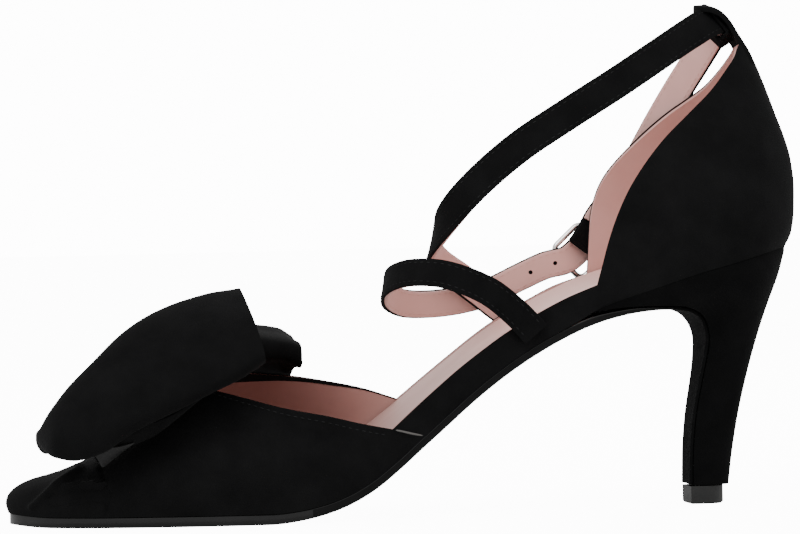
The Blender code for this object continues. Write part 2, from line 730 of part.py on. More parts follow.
def strap_path(name):
    """Centre line and outward normals of a whole strap."""
    if name == "a":
        table, ankle = STRAP_A, ANKLE_A
        tail = [buckle_point(*q) for q in
                ((-5.6, -0.15, -1.5), (-2.8, 1.2, -0.8), (0.1, 3.3, -0.4),
                 (3.2, 4.5, -0.5), (6.0, 4.75, -1.3), (9.0, 4.5, -2.3))]
        back, _, out = strap_path("b")
        for left in (14.0, 20.0, 26.0, 33.0):
            p, _, n = frame_on(back, back, out, arc_length(back)[-1] - left)
            tail.append(p + n * FREE_END_LIFT)
    else:
        table, ankle = STRAP_B, ANKLE_B
        tail = [buckle_point(*q) for q in
                ((10.5, 0.9, -3.0), (6.5, 0.2, -1.8), (3.0, 0.1, -1.0),
                 (0.2, 0.0, -0.5))]
    rows = [tuple(r) for r in table.points("x", "y", "z", "tip")]
    rows += [tuple(q) + (0.0,) for q in tail]
    dense = smooth_path(rows, 10)
    dense = resample(dense, 84 if name == "a" else 96)
    path, tip = dense[:, :3], dense[:, 3]
    t = tangents(path)
    n = np.array([facing(path[k], t[k], ankle, tip[k]) for k in range(len(path))])
    flat = np.array([0.0, 1.0, 0.0])
    near = np.linalg.norm(path - np.array(BUCKLE_AT), axis=1)
    for k in range(len(path)):
        blend = min(max((26.0 - near[k]) / 10.0, 0.0), 1.0)
        if path[k][1] > 15 and blend > 0:
            m = flat - t[k] * np.dot(flat, t[k])
            n[k] = lerp(n[k], m / np.linalg.norm(m), blend)
            n[k] -= t[k] * np.dot(n[k], t[k])
            n[k] /= np.linalg.norm(n[k])
    return path, t, n


def arc_length(path):
    return np.concatenate([[0], np.cumsum(np.linalg.norm(np.diff(path, axis=0), axis=1))])


def frame_on(path, t, n, want):
    """Point, tangent and normal at a distance along the path."""
    s = arc_length(path)
    p, tt, nn = (np.array([np.interp(want, s, q[:, k]) for k in range(3)])
                 for q in (path, t, n))
    tt = tt / np.linalg.norm(tt)
    return p, tt, nn / np.linalg.norm(nn)


def ribbon(path, t, n, width, thick, taper_end=False, slot=None):
    """Flat strap along a path; slot is (first row, last row, half width)."""
    verts, faces = [], []
    for k in range(len(path)):
        w = np.cross(t[k], n[k])
        half = width / 2
        if taper_end:
            half *= min(1.0, 0.55 + 0.2 * (len(path) - 1 - k))
        mid = slot[2] if slot else half * 0.4
        h = n[k] * thick / 2
        for face in (-1, 1):
            for across in (-half, -mid, mid, half):
                verts.append(path[k] + w * across + h * face)

    def at(k, face, column):
        return k * 8 + face * 4 + column

    def solid(k, column):
        if not (0 <= k < len(path) - 1 and 0 <= column < 3):
            return False
        return not (slot and column == 1 and slot[0] <= k < slot[1])

    for k in range(len(path) - 1):
        for c in range(3):
            if not solid(k, c):
                continue
            for face in (0, 1):
                q = [at(k, face, c), at(k, face, c + 1),
                     at(k + 1, face, c + 1), at(k + 1, face, c)]
                faces.append(q if face == 0 else q[::-1])
            for there, a, b in ((solid(k, c - 1), (k, c), (k + 1, c)),
                                (solid(k, c + 1), (k + 1, c + 1), (k, c + 1)),
                                (solid(k - 1, c), (k, c + 1), (k, c)),
                                (solid(k + 1, c), (k + 1, c), (k + 1, c + 1))):
                if not there:
                    faces.append([at(a[0], 0, a[1]), at(b[0], 0, b[1]),
                                  at(b[0], 1, b[1]), at(a[0], 1, a[1])])
    return np.array(verts), faces


PRONG_SLOT = (-1.7, 3.7, 1.0)      # along the strap from, to, and half width


def build_strap_a():
    path, t, n = strap_path("a")
    o, u, _, _ = buckle_frame()
    along = (path - o) @ u
    first = int(np.argmin(np.abs(along - PRONG_SLOT[0]) + (path[:, 1] < 20) * 99))
    last = int(np.argmin(np.abs(along - PRONG_SLOT[1]) + (path[:, 1] < 20) * 99))
    return ribbon(path, t, n, STRAP_A_WIDTH, STRAP_THICK, taper_end=True,
                  slot=(first, last, PRONG_SLOT[2]))


def build_strap_b():
    path, t, n = strap_path("b")
    return ribbon(path, t, n, STRAP_B_WIDTH, STRAP_THICK)


HEEL_LOOP_HALF = 7.0       # half length of the tunnel along the strap
LOOP_WALL = 1.2


def build_heel_loop():
    """Suede tunnel that holds the strap at the top of the back tab."""
    path, t, n = strap_path("b")
    mid = arc_length(path)[int(np.argmax(path[:, 0]))] - 1.5
    sections = []
    for want in np.linspace(mid - HEEL_LOOP_HALF, mid + HEEL_LOOP_HALF, 13):
        p, tt, nn = frame_on(path, t, n, want)
        nn -= tt * np.dot(nn, tt)
        nn /= np.linalg.norm(nn)
        ww = np.cross(tt, nn)
        a, b = STRAP_B_WIDTH / 2 + GAP + 0.1, STRAP_THICK / 2 + GAP + 0.1
        hole = [p + ww * x + nn * y for x, y in ((-a, -b), (a, -b), (a, b), (-a, b))]
        a, b = a + LOOP_WALL, b + LOOP_WALL
        c = LOOP_WALL * 0.8
        skin = [p + ww * x + nn * y for x, y in
                ((-a + c, -b), (a - c, -b), (a, -b + c), (a, b - c),
                 (a - c, b), (-a + c, b), (-a, b - c), (-a, -b + c))]
        sections.append((skin, hole))
    return tunnel(sections)


def tunnel(sections):
    """A tube with an eight-sided outside and a four-sided hole."""
    verts, faces = [], []
    for skin, hole in sections:
        verts += list(skin) + list(hole)
    for k in range(len(sections) - 1):
        for j in range(8):
            a, b = k * 12 + j, k * 12 + (j + 1) % 8
            faces.append([a, b, b + 12, a + 12])
        for j in range(4):
            a, b = k * 12 + 8 + j, k * 12 + 8 + (j + 1) % 4
            faces.append([a, a + 12, b + 12, b])
    for base, flip in ((0, True), ((len(sections) - 1) * 12, False)):
        for j, (a, b, h) in enumerate(((0, 1, 0), (2, 3, 1), (4, 5, 2), (6, 7, 3))):
            h2 = 8 + (h + 1) % 4
            side = [base + a, base + b, base + h2, base + 8 + h]
            corner = [base + b, base + (b + 1) % 8, base + h2]
            faces.append(side[::-1] if flip else side)
            faces.append(corner[::-1] if flip else corner)
    return np.array(verts), faces


def build_keeper():
    """Small loop behind the buckle that holds the strap's free end."""
    path, t, n = strap_path("b")
    a = STRAP_B_WIDTH / 2 + GAP
    low = -STRAP_THICK / 2 - GAP
    high = FREE_END_LIFT + STRAP_THICK / 2 + GAP + 0.7
    g, c = 0.9, 0.6
    sections = []
    for want in (24.4, 22.2, 20.0):
        p, tt, nn = frame_on(path, t, n, arc_length(path)[-1] - want)
        w = np.cross(tt, nn)
        hole = [p + w * x + nn * y for x, y in
                ((-a, low), (a, low), (a, high), (-a, high))]
        skin = [p + w * x + nn * y for x, y in
                ((-a - g + c, low - g), (a + g - c, low - g), (a + g, low - g + c),
                 (a + g, high + g - c), (a + g - c, high + g), (-a - g + c, high + g),
                 (-a - g, high + g - c), (-a - g, low - g + c))]
        sections.append((skin, hole))
    return tunnel(sections)


def build_buckle():
    """Rectangular frame of round wire with rounded corners."""
    a = BUCKLE_INNER[0] / 2 + BUCKLE_WIRE / 2
    b = BUCKLE_INNER[1] / 2 + BUCKLE_WIRE / 2
    corner, out = 2.2, 2.3
    centre = []
    for cx, cy, start in ((a - corner, b - corner, 0), (-a + corner, b - corner, 90),
                          (-a + corner, -b + corner, 180), (a - corner, -b + corner, 270)):
        for k in range(4):
            ang = math.radians(start + 30 * k)
            centre.append((cx + corner * math.cos(ang), cy + corner * math.sin(ang)))
    rings, count, sides = [], len(centre), 8
    for k in range(count):
        prev, nxt = centre[k - 1], centre[(k + 1) % count]
        d = np.array([nxt[0] - prev[0], nxt[1] - prev[1]])
        d /= np.linalg.norm(d)
        for j in range(sides):
            ang = 2 * math.pi * j / sides
            r = BUCKLE_WIRE / 2
            x = centre[k][0] + d[1] * r * math.cos(ang)
            y = centre[k][1] - d[0] * r * math.cos(ang)
            rings.append(buckle_point(x, out + r * math.sin(ang), y))
    faces = []
    for k in range(count):
        for j in range(sides):
            p, q = k * sides + j, k * sides + (j + 1) % sides
            m = ((k + 1) % count) * sides
            faces.append([p, q, m + (j + 1) % sides, m + j])
    return np.array(rings), faces


def build_prong():
    """Pin from the rear bar to the front bar, outside the strap."""
    spine = [(4.2, 2.1, -0.6, 0.62), (2.2, 2.6, -0.55, 0.62), (0.4, 3.3, -0.5, 0.62),
             (-1.6, 4.05, -0.7, 0.6), (-4.2, 4.4, -0.9, 0.55), (-6.9, 3.95, -1.0, 0.4)]
    path = smooth_path(spine, 3)
    sections = []
    for along, out, across, r in path:
        ring = []
        for j in range(6):
            ang = 2 * math.pi * j / 6
            ring.append(buckle_point(along, out + r * math.sin(ang),
                                     across + r * math.cos(ang)))
        sections.append(ring)
    return loft(sections)


# -------------------------------------------------------------------- bow
# Sections of each bow loop from its front end to its rear edge.  crest is
# the highest line, fold the outer turned edge, root the side at the knot.
BOW_NEAR = Table("row x root_z crest_y crest_z fold_y fold_z low_z", [
    (0, 8.0, 25.0, -31.0, 28.4, -35.0, 26.0, 23.8),
    (1, 11.0, 23.0, -30.0, 32.4, -40.5, 24.8, 21.2),
    (2, 16.5, 24.0, -27.5, 39.6, -43.0, 24.8, 19.8),
    (3, 23.8, 28.6, -25.5, 46.8, -44.0, 27.2, 21.8),
    (4, 32.0, 34.0, -23.0, 54.2, -44.0, 30.6, 27.0),
    (5, 41.0, 40.0, -20.5, 59.5, -43.5, 34.4, 31.6),
    (6, 51.0, 45.5, -18.0, 63.1, -42.5, 39.0, 36.6),
    (7, 60.0, 49.8, -16.0, 65.3, -41.0, 43.6, 40.8),
    (8, 67.2, 52.5, -15.0, 66.2, -39.0, 47.8, 45.4),
])
BOW_FAR = Table("row x root_z crest_y crest_z fold_y fold_z low_z", [
    (0, 29.0, 30.0, 30.0, 33.0, 35.0, 30.4, 28.4),
    (1, 33.0, 32.0, 30.0, 38.0, 41.0, 31.0, 28.0),
    (2, 42.0, 37.0, 28.0, 46.0, 44.5, 34.0, 31.0),
    (3, 52.0, 42.0, 26.0, 51.6, 45.5, 37.6, 35.0),
    (4, 62.0, 46.0, 24.0, 54.8, 45.5, 38.6, 35.4),
    (5, 71.0, 48.0, 24.0, 56.4, 45.5, 37.4, 34.0),
    (6, 78.0, 47.6, 27.0, 56.9, 45.5, 37.0, 33.6),
    (7, 84.0, 46.8, 31.0, 55.2, 45.0, 37.6, 34.6),
    (8, 87.8, 45.4, 35.0, 50.6, 44.0, 39.6, 37.6),
])
KNOT_HALF = 8.5
BOW_ROOT = 9.4            # distance of each loop's inner side from the centre


def bow_section(table, row, side):
    """Closed teardrop section of a loop in a plane across the foot."""
    x, root_z, cy, cz, fy, fz, low = (
        table.at(n, row) for n in
        ("x", "root_z", "crest_y", "crest_z", "fold_y", "fold_z", "low_z"))
    sgn = -1 if side == "med" else 1
    root_y = sgn * BOW_ROOT - 2.0
    ring = [
        (root_y, root_z - 2.2), (root_y, root_z + 2.6),
        (lerp(root_y, cy, 0.55), lerp(root_z, cz, 0.82)), (cy, cz),
        (lerp(cy, fy, 0.52), lerp(cz, fz, 0.30)), (lerp(cy, fy, 0.88), lerp(cz, fz, 0.68)),
        (fy, fz), (lerp(fy, cy, 0.16), low), (lerp(fy, root_y, 0.55), lerp(low, root_z - 2.2, 0.75)),
    ]
    skew = 0.21 * (row / 8) ** 1.5 if side == "med" else 0.0
    return [(x + skew * (cz - z), y, z) for y, z in ring]


def build_bow(table, side):
    sections = []
    for row in np.linspace(0, 8, 15):
        ring = np.array(bow_section(table, row, side))
        dense = smooth_path(ring, 2, closed=True)
        centre = ring.mean(0)
        shrink = 1.0
        if row == 0:
            shrink = 0.35
        elif row < 1.2:
            shrink = lerp(0.35, 1.0, math.sin(math.pi / 2 * row / 1.2))
        dense = centre + (dense - centre) * shrink
        sections.append(dense)
    return loft(sections)


KNOT = Table("row x z_low z_high half", [
    (0, 33.0, 26.5, 36.0, 6.0), (1, 37.0, 29.0, 41.5, 7.2),
    (2, 43.0, 33.6, 47.0, 7.9), (3, 50.0, 39.8, 52.0, 8.0),
    (4, 57.0, 42.6, 55.0, 7.8), (5, 62.0, 43.8, 54.0, 6.8),
])


def build_knot():
    """Band over the middle of the bow, lying on the vamp at the throat."""
    sections = []
    for row in np.linspace(0, 5, 9):
        x, lo, hi, half = (KNOT.at(n, row) for n in ("x", "z_low", "z_high", "half"))
        mid, c = (lo + hi) / 2, -2.0
        ring = []
        for k in range(12):
            a = 2 * math.pi * k / 12
            sy = math.copysign(abs(math.cos(a)) ** 0.6, math.cos(a))
            sz = math.copysign(abs(math.sin(a)) ** 0.7, math.sin(a))
            ring.append((x, c + half * sy, mid + (hi - lo) / 2 * sz))
        sections.append(ring)
    return loft(sections)


# --------------------------------------------------------------- assembly
MATERIALS = {
    "suede_black": ((0.006, 0.006, 0.0065), 0.9, 0.0),
    "lining_pink": ((0.56, 0.30, 0.28), 0.55, 0.0),
    "sole_black": ((0.008, 0.008, 0.009), 0.25, 0.0),
    "rubber_black": ((0.012, 0.012, 0.012), 0.6, 0.0),
    "metal_pale": ((0.85, 0.83, 0.80), 0.18, 1.0),
}


def build_outer():
    return [
        ("outsole", build_outsole(), "sole_black", 30),
        ("insole", build_insole(), "lining_pink", 30),
        ("upper", build_upper(), "suede_black", 45),
        ("heel", build_heel(), "suede_black", 40),
        ("top_lift", build_lift(), "rubber_black", 40),
        ("strap_a", build_strap_a(), "suede_black", 40),
        ("strap_b", build_strap_b(), "suede_black", 40),
        ("heel_loop", build_heel_loop(), "suede_black", 40),
        ("keeper", build_keeper(), "suede_black", 40),
        ("buckle_frame", build_buckle(), "metal_pale", 60),
        ("buckle_prong", build_prong(), "metal_pale", 60),
        ("bow_loop_medial", build_bow(BOW_NEAR, "med"), "suede_black", 50),
        ("bow_loop_lateral", build_bow(BOW_FAR, "lat"), "suede_black", 50),
        ("bow_knot", build_knot(), "suede_black", 50),
    ]


def make_material(name):
    colour, rough, metal = MATERIALS[name]
    mat = bpy.data.materials.get(name) or bpy.data.materials.new(name)
    mat.use_nodes = True
    shader = mat.node_tree.nodes["Principled BSDF"]
    shader.inputs["Base Color"].default_value = (*colour, 1.0)
    shader.inputs["Roughness"].default_value = rough
    shader.inputs["Metallic"].default_value = metal
    mat.diffuse_color = (*colour, 1.0)
    return mat


def make_object(name, verts, faces, material, angle, shift):
    mesh = bpy.data.meshes.new(name)
    mesh.from_pydata([tuple((v - shift) * MM) for v in verts], [], faces)
    bm = bmesh.new()
    bm.from_mesh(mesh)
    bmesh.ops.triangulate(bm, faces=bm.faces[:])
    bmesh.ops.recalc_face_normals(bm, faces=bm.faces[:])
    bm.to_mesh(mesh)
    bm.free()
    mesh.shade_smooth()
    mesh.set_sharp_from_angle(angle=math.radians(angle))
    obj = bpy.data.objects.new(name, mesh)
    bpy.context.scene.collection.objects.link(obj)
    mat = make_material(material).copy()
    mat.name = name + "_" + material
    mesh.materials.append(mat)
    return obj


def main():
    for obj in list(bpy.data.objects):
        bpy.data.objects.remove(obj, do_unlink=True)
    pieces = build_outer()
    cloud = np.concatenate([np.asarray(v, float) for _, (v, _), _, _ in pieces])
    low, high = cloud.min(0), cloud.max(0)
    shift = np.array([(low[0] + high[0]) / 2, (low[1] + high[1]) / 2, low[2]])
    for name, (verts, faces), material, angle in pieces:
        make_object(name, np.asarray(verts, float), faces, material, angle, shift)


main()
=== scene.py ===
import math

import bmesh
import bpy
import numpy as np
from mathutils import Matrix, Vector


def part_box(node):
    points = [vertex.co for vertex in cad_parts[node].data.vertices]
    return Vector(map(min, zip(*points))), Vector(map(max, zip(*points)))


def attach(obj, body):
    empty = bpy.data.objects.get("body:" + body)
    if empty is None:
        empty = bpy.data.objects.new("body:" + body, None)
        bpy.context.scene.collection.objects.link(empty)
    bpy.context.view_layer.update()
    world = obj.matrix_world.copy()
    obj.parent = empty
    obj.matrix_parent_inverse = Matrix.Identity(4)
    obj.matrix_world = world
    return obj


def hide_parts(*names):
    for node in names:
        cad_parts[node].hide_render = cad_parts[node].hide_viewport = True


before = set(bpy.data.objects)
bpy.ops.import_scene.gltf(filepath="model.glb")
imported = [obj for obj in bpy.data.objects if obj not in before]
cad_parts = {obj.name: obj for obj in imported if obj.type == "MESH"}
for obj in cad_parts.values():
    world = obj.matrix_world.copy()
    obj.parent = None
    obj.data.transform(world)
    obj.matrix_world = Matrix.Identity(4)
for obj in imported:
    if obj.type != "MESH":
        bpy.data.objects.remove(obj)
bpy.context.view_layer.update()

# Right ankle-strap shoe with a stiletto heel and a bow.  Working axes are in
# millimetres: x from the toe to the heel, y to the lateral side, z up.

MM = 0.001

# ------------------------------------------------------------------ sizes
GAP = 0.3                 # clearance left between neighbouring pieces
WALL = 1.8                # suede outer plus leather lining
SOLE_FOREFOOT = 3.0       # outsole thickness under the ball
SOLE_WAIST = 2.3          # outsole thickness through the arch
SOLE_BREAST = 0.8         # outsole flap thickness on the heel breast
TREAD_START_X = 12.0      # flat forefoot tread, from here ...
TREAD_END_X = 72.0        # ... to here
THROAT_X = 52.0           # front end of the foot opening, on the ridge
RIDGE_START_X = 12.0      # where the toe dome meets the ridge line
VAMP_END_MEDIAL_X = 108.0   # vamp topline meets the low waist wall
VAMP_END_LATERAL_X = 119.0
COUNTER_MEDIAL_X = 169.5    # front edge of the tall heel counter
COUNTER_LATERAL_X = 175.6
HEEL_BACK_X = 229.3       # back of the bottom outline
BREAST_X = 188.0          # sole turns down the heel breast here
LIFT_HEIGHT = 5.2         # rubber top lift
STRAP_A_WIDTH = 8.3
STRAP_B_WIDTH = 9.2
STRAP_THICK = 2.0
ROWS = 8                  # rows of faces up each wall of the upper


class Table:
    """Rows with named columns; at() reads a column on a smooth curve."""

    def __init__(self, columns, rows):
        self.names = columns.split()
        self.data = np.array(rows, float)

    def column(self, name):
        return self.data[:, self.names.index(name)]

    def at(self, name, x):
        return monotone(self.column(self.names[0]), self.column(name), x)

    def points(self, *names):
        return np.stack([self.column(n) for n in names], 1)


def monotone(xs, ys, x):
    """Monotone cubic through (xs, ys): smooth, and never overshoots."""
    h = np.diff(xs)
    d = np.diff(ys) / h
    m = np.zeros(len(xs))
    m[0], m[-1] = d[0], d[-1]
    for k in range(1, len(xs) - 1):
        if d[k - 1] * d[k] > 0:
            w1, w2 = 2 * h[k] + h[k - 1], h[k] + 2 * h[k - 1]
            m[k] = (w1 + w2) / (w1 / d[k - 1] + w2 / d[k])
    x = min(max(x, xs[0]), xs[-1])
    k = min(int(np.searchsorted(xs, x, side="right")) - 1, len(xs) - 2)
    t = (x - xs[k]) / h[k]
    return ((2 * t ** 3 - 3 * t ** 2 + 1) * ys[k]
            + (t ** 3 - 2 * t ** 2 + t) * h[k] * m[k]
            + (3 * t ** 2 - 2 * t ** 3) * ys[k + 1]
            + (t ** 3 - t ** 2) * h[k] * m[k + 1])


def smooth_path(points, per_span=8, closed=False):
    """Centripetal Catmull-Rom curve through the points."""
    p = np.array(points, float)
    n = len(p)
    if closed:
        ext = [p[(k - 1) % n] for k in range(n + 3)]
    else:
        ext = [2 * p[0] - p[1]] + list(p) + [2 * p[-1] - p[-2]]
    out = []
    for k in range(len(ext) - 3):
        a, b, c, d = ext[k:k + 4]
        t = [0.0]
        for q, r in ((a, b), (b, c), (c, d)):
            t.append(t[-1] + max(np.linalg.norm(r - q), 1e-6) ** 0.5)
        for s in range(per_span):
            u = t[1] + (t[2] - t[1]) * s / per_span
            a1 = (t[1] - u) / (t[1] - t[0]) * a + (u - t[0]) / (t[1] - t[0]) * b
            a2 = (t[2] - u) / (t[2] - t[1]) * b + (u - t[1]) / (t[2] - t[1]) * c
            a3 = (t[3] - u) / (t[3] - t[2]) * c + (u - t[2]) / (t[3] - t[2]) * d
            b1 = (t[2] - u) / (t[2] - t[0]) * a1 + (u - t[0]) / (t[2] - t[0]) * a2
            b2 = (t[3] - u) / (t[3] - t[1]) * a2 + (u - t[1]) / (t[3] - t[1]) * a3
            out.append((t[2] - u) / (t[2] - t[1]) * b1 + (u - t[1]) / (t[2] - t[1]) * b2)
    if not closed:
        out.append(p[-1])
    return np.array(out)


def resample(path, count):
    """The same curve at evenly spaced points."""
    step = np.linalg.norm(np.diff(path, axis=0), axis=1)
    s = np.concatenate([[0], np.cumsum(step)])
    want = np.linspace(0, s[-1], count)
    return np.stack([np.interp(want, s, path[:, k]) for k in range(path.shape[1])], 1)


def lerp(a, b, t):
    return a + (b - a) * t


def bezier(p0, p1, p2, p3, t):
    return ((1 - t) ** 3 * p0 + 3 * (1 - t) ** 2 * t * p1
            + 3 * (1 - t) * t ** 2 * p2 + t ** 3 * p3)


# ----------------------------------------------------------- last, bottom
# Bottom outline of the last: half breadths either side of the centre line.
LAST = Table("x med lat", [
    (0.8, -6.5, -6.5),
    (2.2, -11.5, -1.5),
    (5.5, -16.0, 3.0),
    (10.5, -21.0, 8.0),
    (20.0, -27.0, 15.0),
    (30.0, -31.0, 21.0),
    (45.0, -35.0, 27.5),
    (60.0, -37.6, 32.0),
    (75.0, -38.6, 34.6),
    (90.0, -37.4, 35.8),
    (105.0, -32.6, 34.8),
    (120.0, -26.6, 32.0),
    (140.0, -20.6, 28.2),
    (155.0, -19.6, 26.3),
    (170.0, -21.4, 25.6),
    (185.0, -24.0, 25.8),
    (200.0, -25.4, 25.8),
    (210.0, -24.2, 24.4),
    (218.5, -19.4, 19.6),
    (225.0, -12.2, 12.4),
    (228.4, -5.6, 5.8),
    (HEEL_BACK_X, 0.0, 0.0),
])

# Underside of the outsole along the foot: tread, arch and heel seat.
SOLE_LINE = Table("x z", [
    (0.0, 0.9), (4.0, 0.45), (8.0, 0.12), (TREAD_START_X, 0.0),
    (TREAD_END_X, 0.0), (80.0, 0.8), (88.0, 2.5), (95.0, 4.9), (102.0, 8.4),
    (110.0, 14.0), (117.0, 19.5), (125.0, 25.8), (132.0, 31.4),
    (140.0, 37.3), (147.0, 42.0), (154.0, 46.2), (161.0, 49.9),
    (168.0, 53.0), (175.0, 55.1), (182.0, 56.4), (BREAST_X, 56.9),
])

# Seam between upper and heel, over the heel seat.
SEAT_LINE = Table("x z", [
    (160.0, 52.6), (165.0, 55.3), (172.0, 58.6), (185.0, 62.9),
    (200.0, 67.6), (210.0, 70.1), (217.0, 71.8), (224.0, 73.4),
    (232.0, 74.9),
])


def outline_sides():
    """Dense medial and lateral curves from toe tip to heel back."""
    med = LAST.points("x", "med")
    lat = LAST.points("x", "lat")
    loop = np.concatenate([med, lat[-2:0:-1]])
    dense = smooth_path(loop, 24, closed=True)
    cut = (len(med) - 1) * 24
    back = np.concatenate([dense[cut:], dense[:1]])[::-1]
    return {"med": dense[:cut + 1], "lat": back}


OUTLINE = outline_sides()
ARC = {}
for _side, _pts in OUTLINE.items():
    _step = np.linalg.norm(np.diff(_pts, axis=0), axis=1)
    ARC[_side] = np.concatenate([[0], np.cumsum(_step)])


def at_arc(side, s):
    p = OUTLINE[side]
    return np.array([np.interp(s, ARC[side], p[:, 0]), np.interp(s, ARC[side], p[:, 1])])


def arc_of_x(side, x):
    return float(np.interp(x, OUTLINE[side][:, 0], ARC[side]))


def outward(side, s):
    """Unit normal of the outline in plan, pointing out of the foot."""
    d = at_arc(side, min(s + 0.6, ARC[side][-1])) - at_arc(side, max(s - 0.6, 0.0))
    d = d / np.linalg.norm(d)
    return np.array([d[1], -d[0]]) if side == "med" else np.array([-d[1], d[0]])


def inset_sides(distance):
    """The outline moved inwards by a distance, as y against x."""
    out = {}
    for side, pts in OUTLINE.items():
        s = ARC[side]
        q = np.array([pts[k] - outward(side, s[k]) * distance for k in range(len(pts))])
        keep = np.concatenate([[True], np.diff(np.maximum.accumulate(q[:, 0])) > 1e-9])
        out[side] = q[keep]
    return out


def inset_y(table, side, x):
    q = table[side]
    return float(np.interp(x, q[:, 0], q[:, 1]))


def sole_thickness(x):
    """Full under the ball, thinner at the waist, a thin flap at the breast."""
    if x > 168:
        return lerp(SOLE_WAIST, SOLE_BREAST, min((x - 168) / (BREAST_X - 168), 1.0))
    return lerp(SOLE_FOREFOOT, SOLE_WAIST, min(max((x - 70.0) / 40.0, 0.0), 1.0))


def sole_bottom(x):
    return SOLE_LINE.at("z", x)


def sole_slope(x):
    return (sole_bottom(min(x + 1, BREAST_X)) - sole_bottom(max(x - 1, 0))) / 2


def sole_top(x):
    """Upper face of the outsole; its thickness is square to the arch."""
    return sole_bottom(x) + sole_thickness(x) * math.sqrt(1 + sole_slope(x) ** 2)


def feather(x):
    """Lower edge of the upper: on the sole in front, on the heel behind."""
    on_sole = sole_top(min(x, BREAST_X)) + GAP * 1.25
    if x < 160:
        return on_sole
    seat = SEAT_LINE.at("z", x)
    if x < 170:
        t = (x - 160) / 10
        t = t * t * (3 - 2 * t)
        return lerp(on_sole, max(on_sole, seat), t)
    return max(on_sole, seat) if x < 175 else seat


# --------------------------------------------------------- last, surfaces
# Ridge of the closed forefoot, from the toe dome up to the throat.
RIDGE = Table("x y z", [
    (RIDGE_START_X, -5.6, 14.4), (20.0, -5.0, 16.8), (28.0, -4.6, 20.2),
    (36.0, -4.3, 25.0), (44.0, -4.1, 31.0), (THROAT_X, -4.0, 38.0),
])

# Topline of the vamp: where each wall column that starts at foot_x ends,
# and how steeply the wall leans there (0 lies flat, 90 stands upright).
TOPLINE = {
    "med": Table("foot_x x y z lean", [
        (THROAT_X, THROAT_X, -4.0, 38.0, 0),
        (58.0, 54.0, -12.5, 38.6, 20),
        (64.0, 58.5, -20.0, 37.6, 38),
        (71.0, 66.5, -27.0, 35.4, 55),
        (80.0, 77.0, -32.0, 32.4, 68),
        (90.0, 88.5, -34.4, 30.0, 78),
        (99.0, 98.4, -33.8, 27.5, 84),
        (VAMP_END_MEDIAL_X, VAMP_END_MEDIAL_X, -31.4, 25.5, 88),
    ]),
    "lat": Table("foot_x x y z lean", [
        (THROAT_X, THROAT_X, -4.0, 38.0, 0),
        (58.0, 54.5, 5.0, 40.0, 16),
        (64.0, 59.0, 13.0, 41.2, 32),
        (71.0, 66.5, 20.0, 41.4, 48),
        (80.0, 76.5, 26.5, 40.6, 62),
        (90.0, 88.0, 31.2, 39.2, 73),
        (100.0, 99.0, 33.4, 37.2, 80),
        (110.0, 109.6, 33.6, 34.8, 86),
        (VAMP_END_LATERAL_X, VAMP_END_LATERAL_X, 32.2, 31.6, 89),
    ]),
}

# Top of the low waist wall, which the footbed comes level with.
WAIST_TOP = {
    "med": Table("x z", [
        (VAMP_END_MEDIAL_X, 25.5), (114.0, 30.4), (121.4, 36.3), (129.0, 42.1),
        (136.5, 47.3), (144.0, 52.2), (154.0, 57.7), (161.0, 61.2),
        (COUNTER_MEDIAL_X, 64.6)]),
    "lat": Table("x z", [
        (VAMP_END_LATERAL_X, 31.6), (127.0, 38.2), (134.0, 43.9), (141.0, 49.4),
        (148.0, 54.3), (159.0, 60.6), (166.0, 64.0),
        (COUNTER_LATERAL_X, 67.0)]),
}

# Heel part of the last by height: back profile, half breadth, and the x of
# the greatest breadth, forward of which the counter wall runs on.
BACKPART = Table("z back half wide_x", [
    (50.0, 226.0, 25.8, 200.0), (74.0, 229.1, 25.8, 200.0),
    (78.0, 230.6, 26.0, 200.0), (85.0, 231.7, 26.0, 200.0),
    (92.0, 232.0, 25.4, 200.0), (99.0, 231.5, 23.8, 199.5),
    (106.0, 229.9, 21.4, 199.5), (112.0, 227.9, 18.6, 200.0),
    (119.0, 225.4, 15.0, 204.0), (126.0, 222.6, 11.2, 209.0),
    (130.0, 220.7, 9.0, 211.4), (134.0, 218.1, 7.4, 212.4),
])

# Collar line of the counter against the fraction of the way round to the
# back seam: up the front edge, along the side, and over the back tab.
COLLAR = {
    "med": Table("t x z", [
        (0.00, 0.0, 0.0),
        (0.07, 1.6, 5.6), (0.15, 3.5, 12.4), (0.23, 6.0, 19.4),
        (0.31, 9.4, 26.4), (0.39, 14.2, 33.4), (0.48, 20.6, 40.6),
        (0.58, 28.4, 47.4), (0.68, 36.0, 54.0), (0.77, 41.2, 59.8),
        (0.86, 44.6, 63.9), (0.93, 46.2, 66.6), (1.00, 48.6, 68.0)]),
    "lat": Table("t x z", [
        (0.00, 0.0, 0.0),
        (0.09, 0.7, 9.0), (0.17, 1.4, 16.8), (0.23, 2.5, 21.6),
        (0.28, 4.0, 25.6), (0.33, 5.9, 29.0), (0.40, 9.4, 33.4),
        (0.48, 14.6, 38.6), (0.57, 19.9, 43.5), (0.66, 24.5, 47.2),
        (0.75, 29.2, 50.4), (0.84, 34.6, 54.4), (0.92, 39.4, 60.2),
        (1.00, 43.4, 67.0)]),
}
TAB_TOP = (218.1, 134.0)

ZONE_STEPS = {"toe": 13, "vamp": 10, "waist": 8, "counter": 17}


def backpart_point(side, eta, z):
    """Point of the heel part of the last at height z.

    eta 0 is the widest point, 1 the back seam, and negative forward of it.
    """
    wide = BACKPART.at("wide_x", z)
    back = BACKPART.at("back", z)
    half = BACKPART.at("half", z)
    if eta >= 0:
        x = lerp(wide, back, eta)
        y = half * max(1 - eta ** 2.25, 0.0) ** (1 / 2.05)
    else:
        x = wide + 40 * eta
        y = half * (1 - (0.30 if side == "med" else 0.02) * eta * eta)
    return np.array([x, -y if side == "med" else y, z])


def backpart_eta(x, z):
    wide = BACKPART.at("wide_x", z)
    back = BACKPART.at("back", z)
    return min((x - wide) / (back - wide), 1.0) if x > wide else (x - wide) / 40


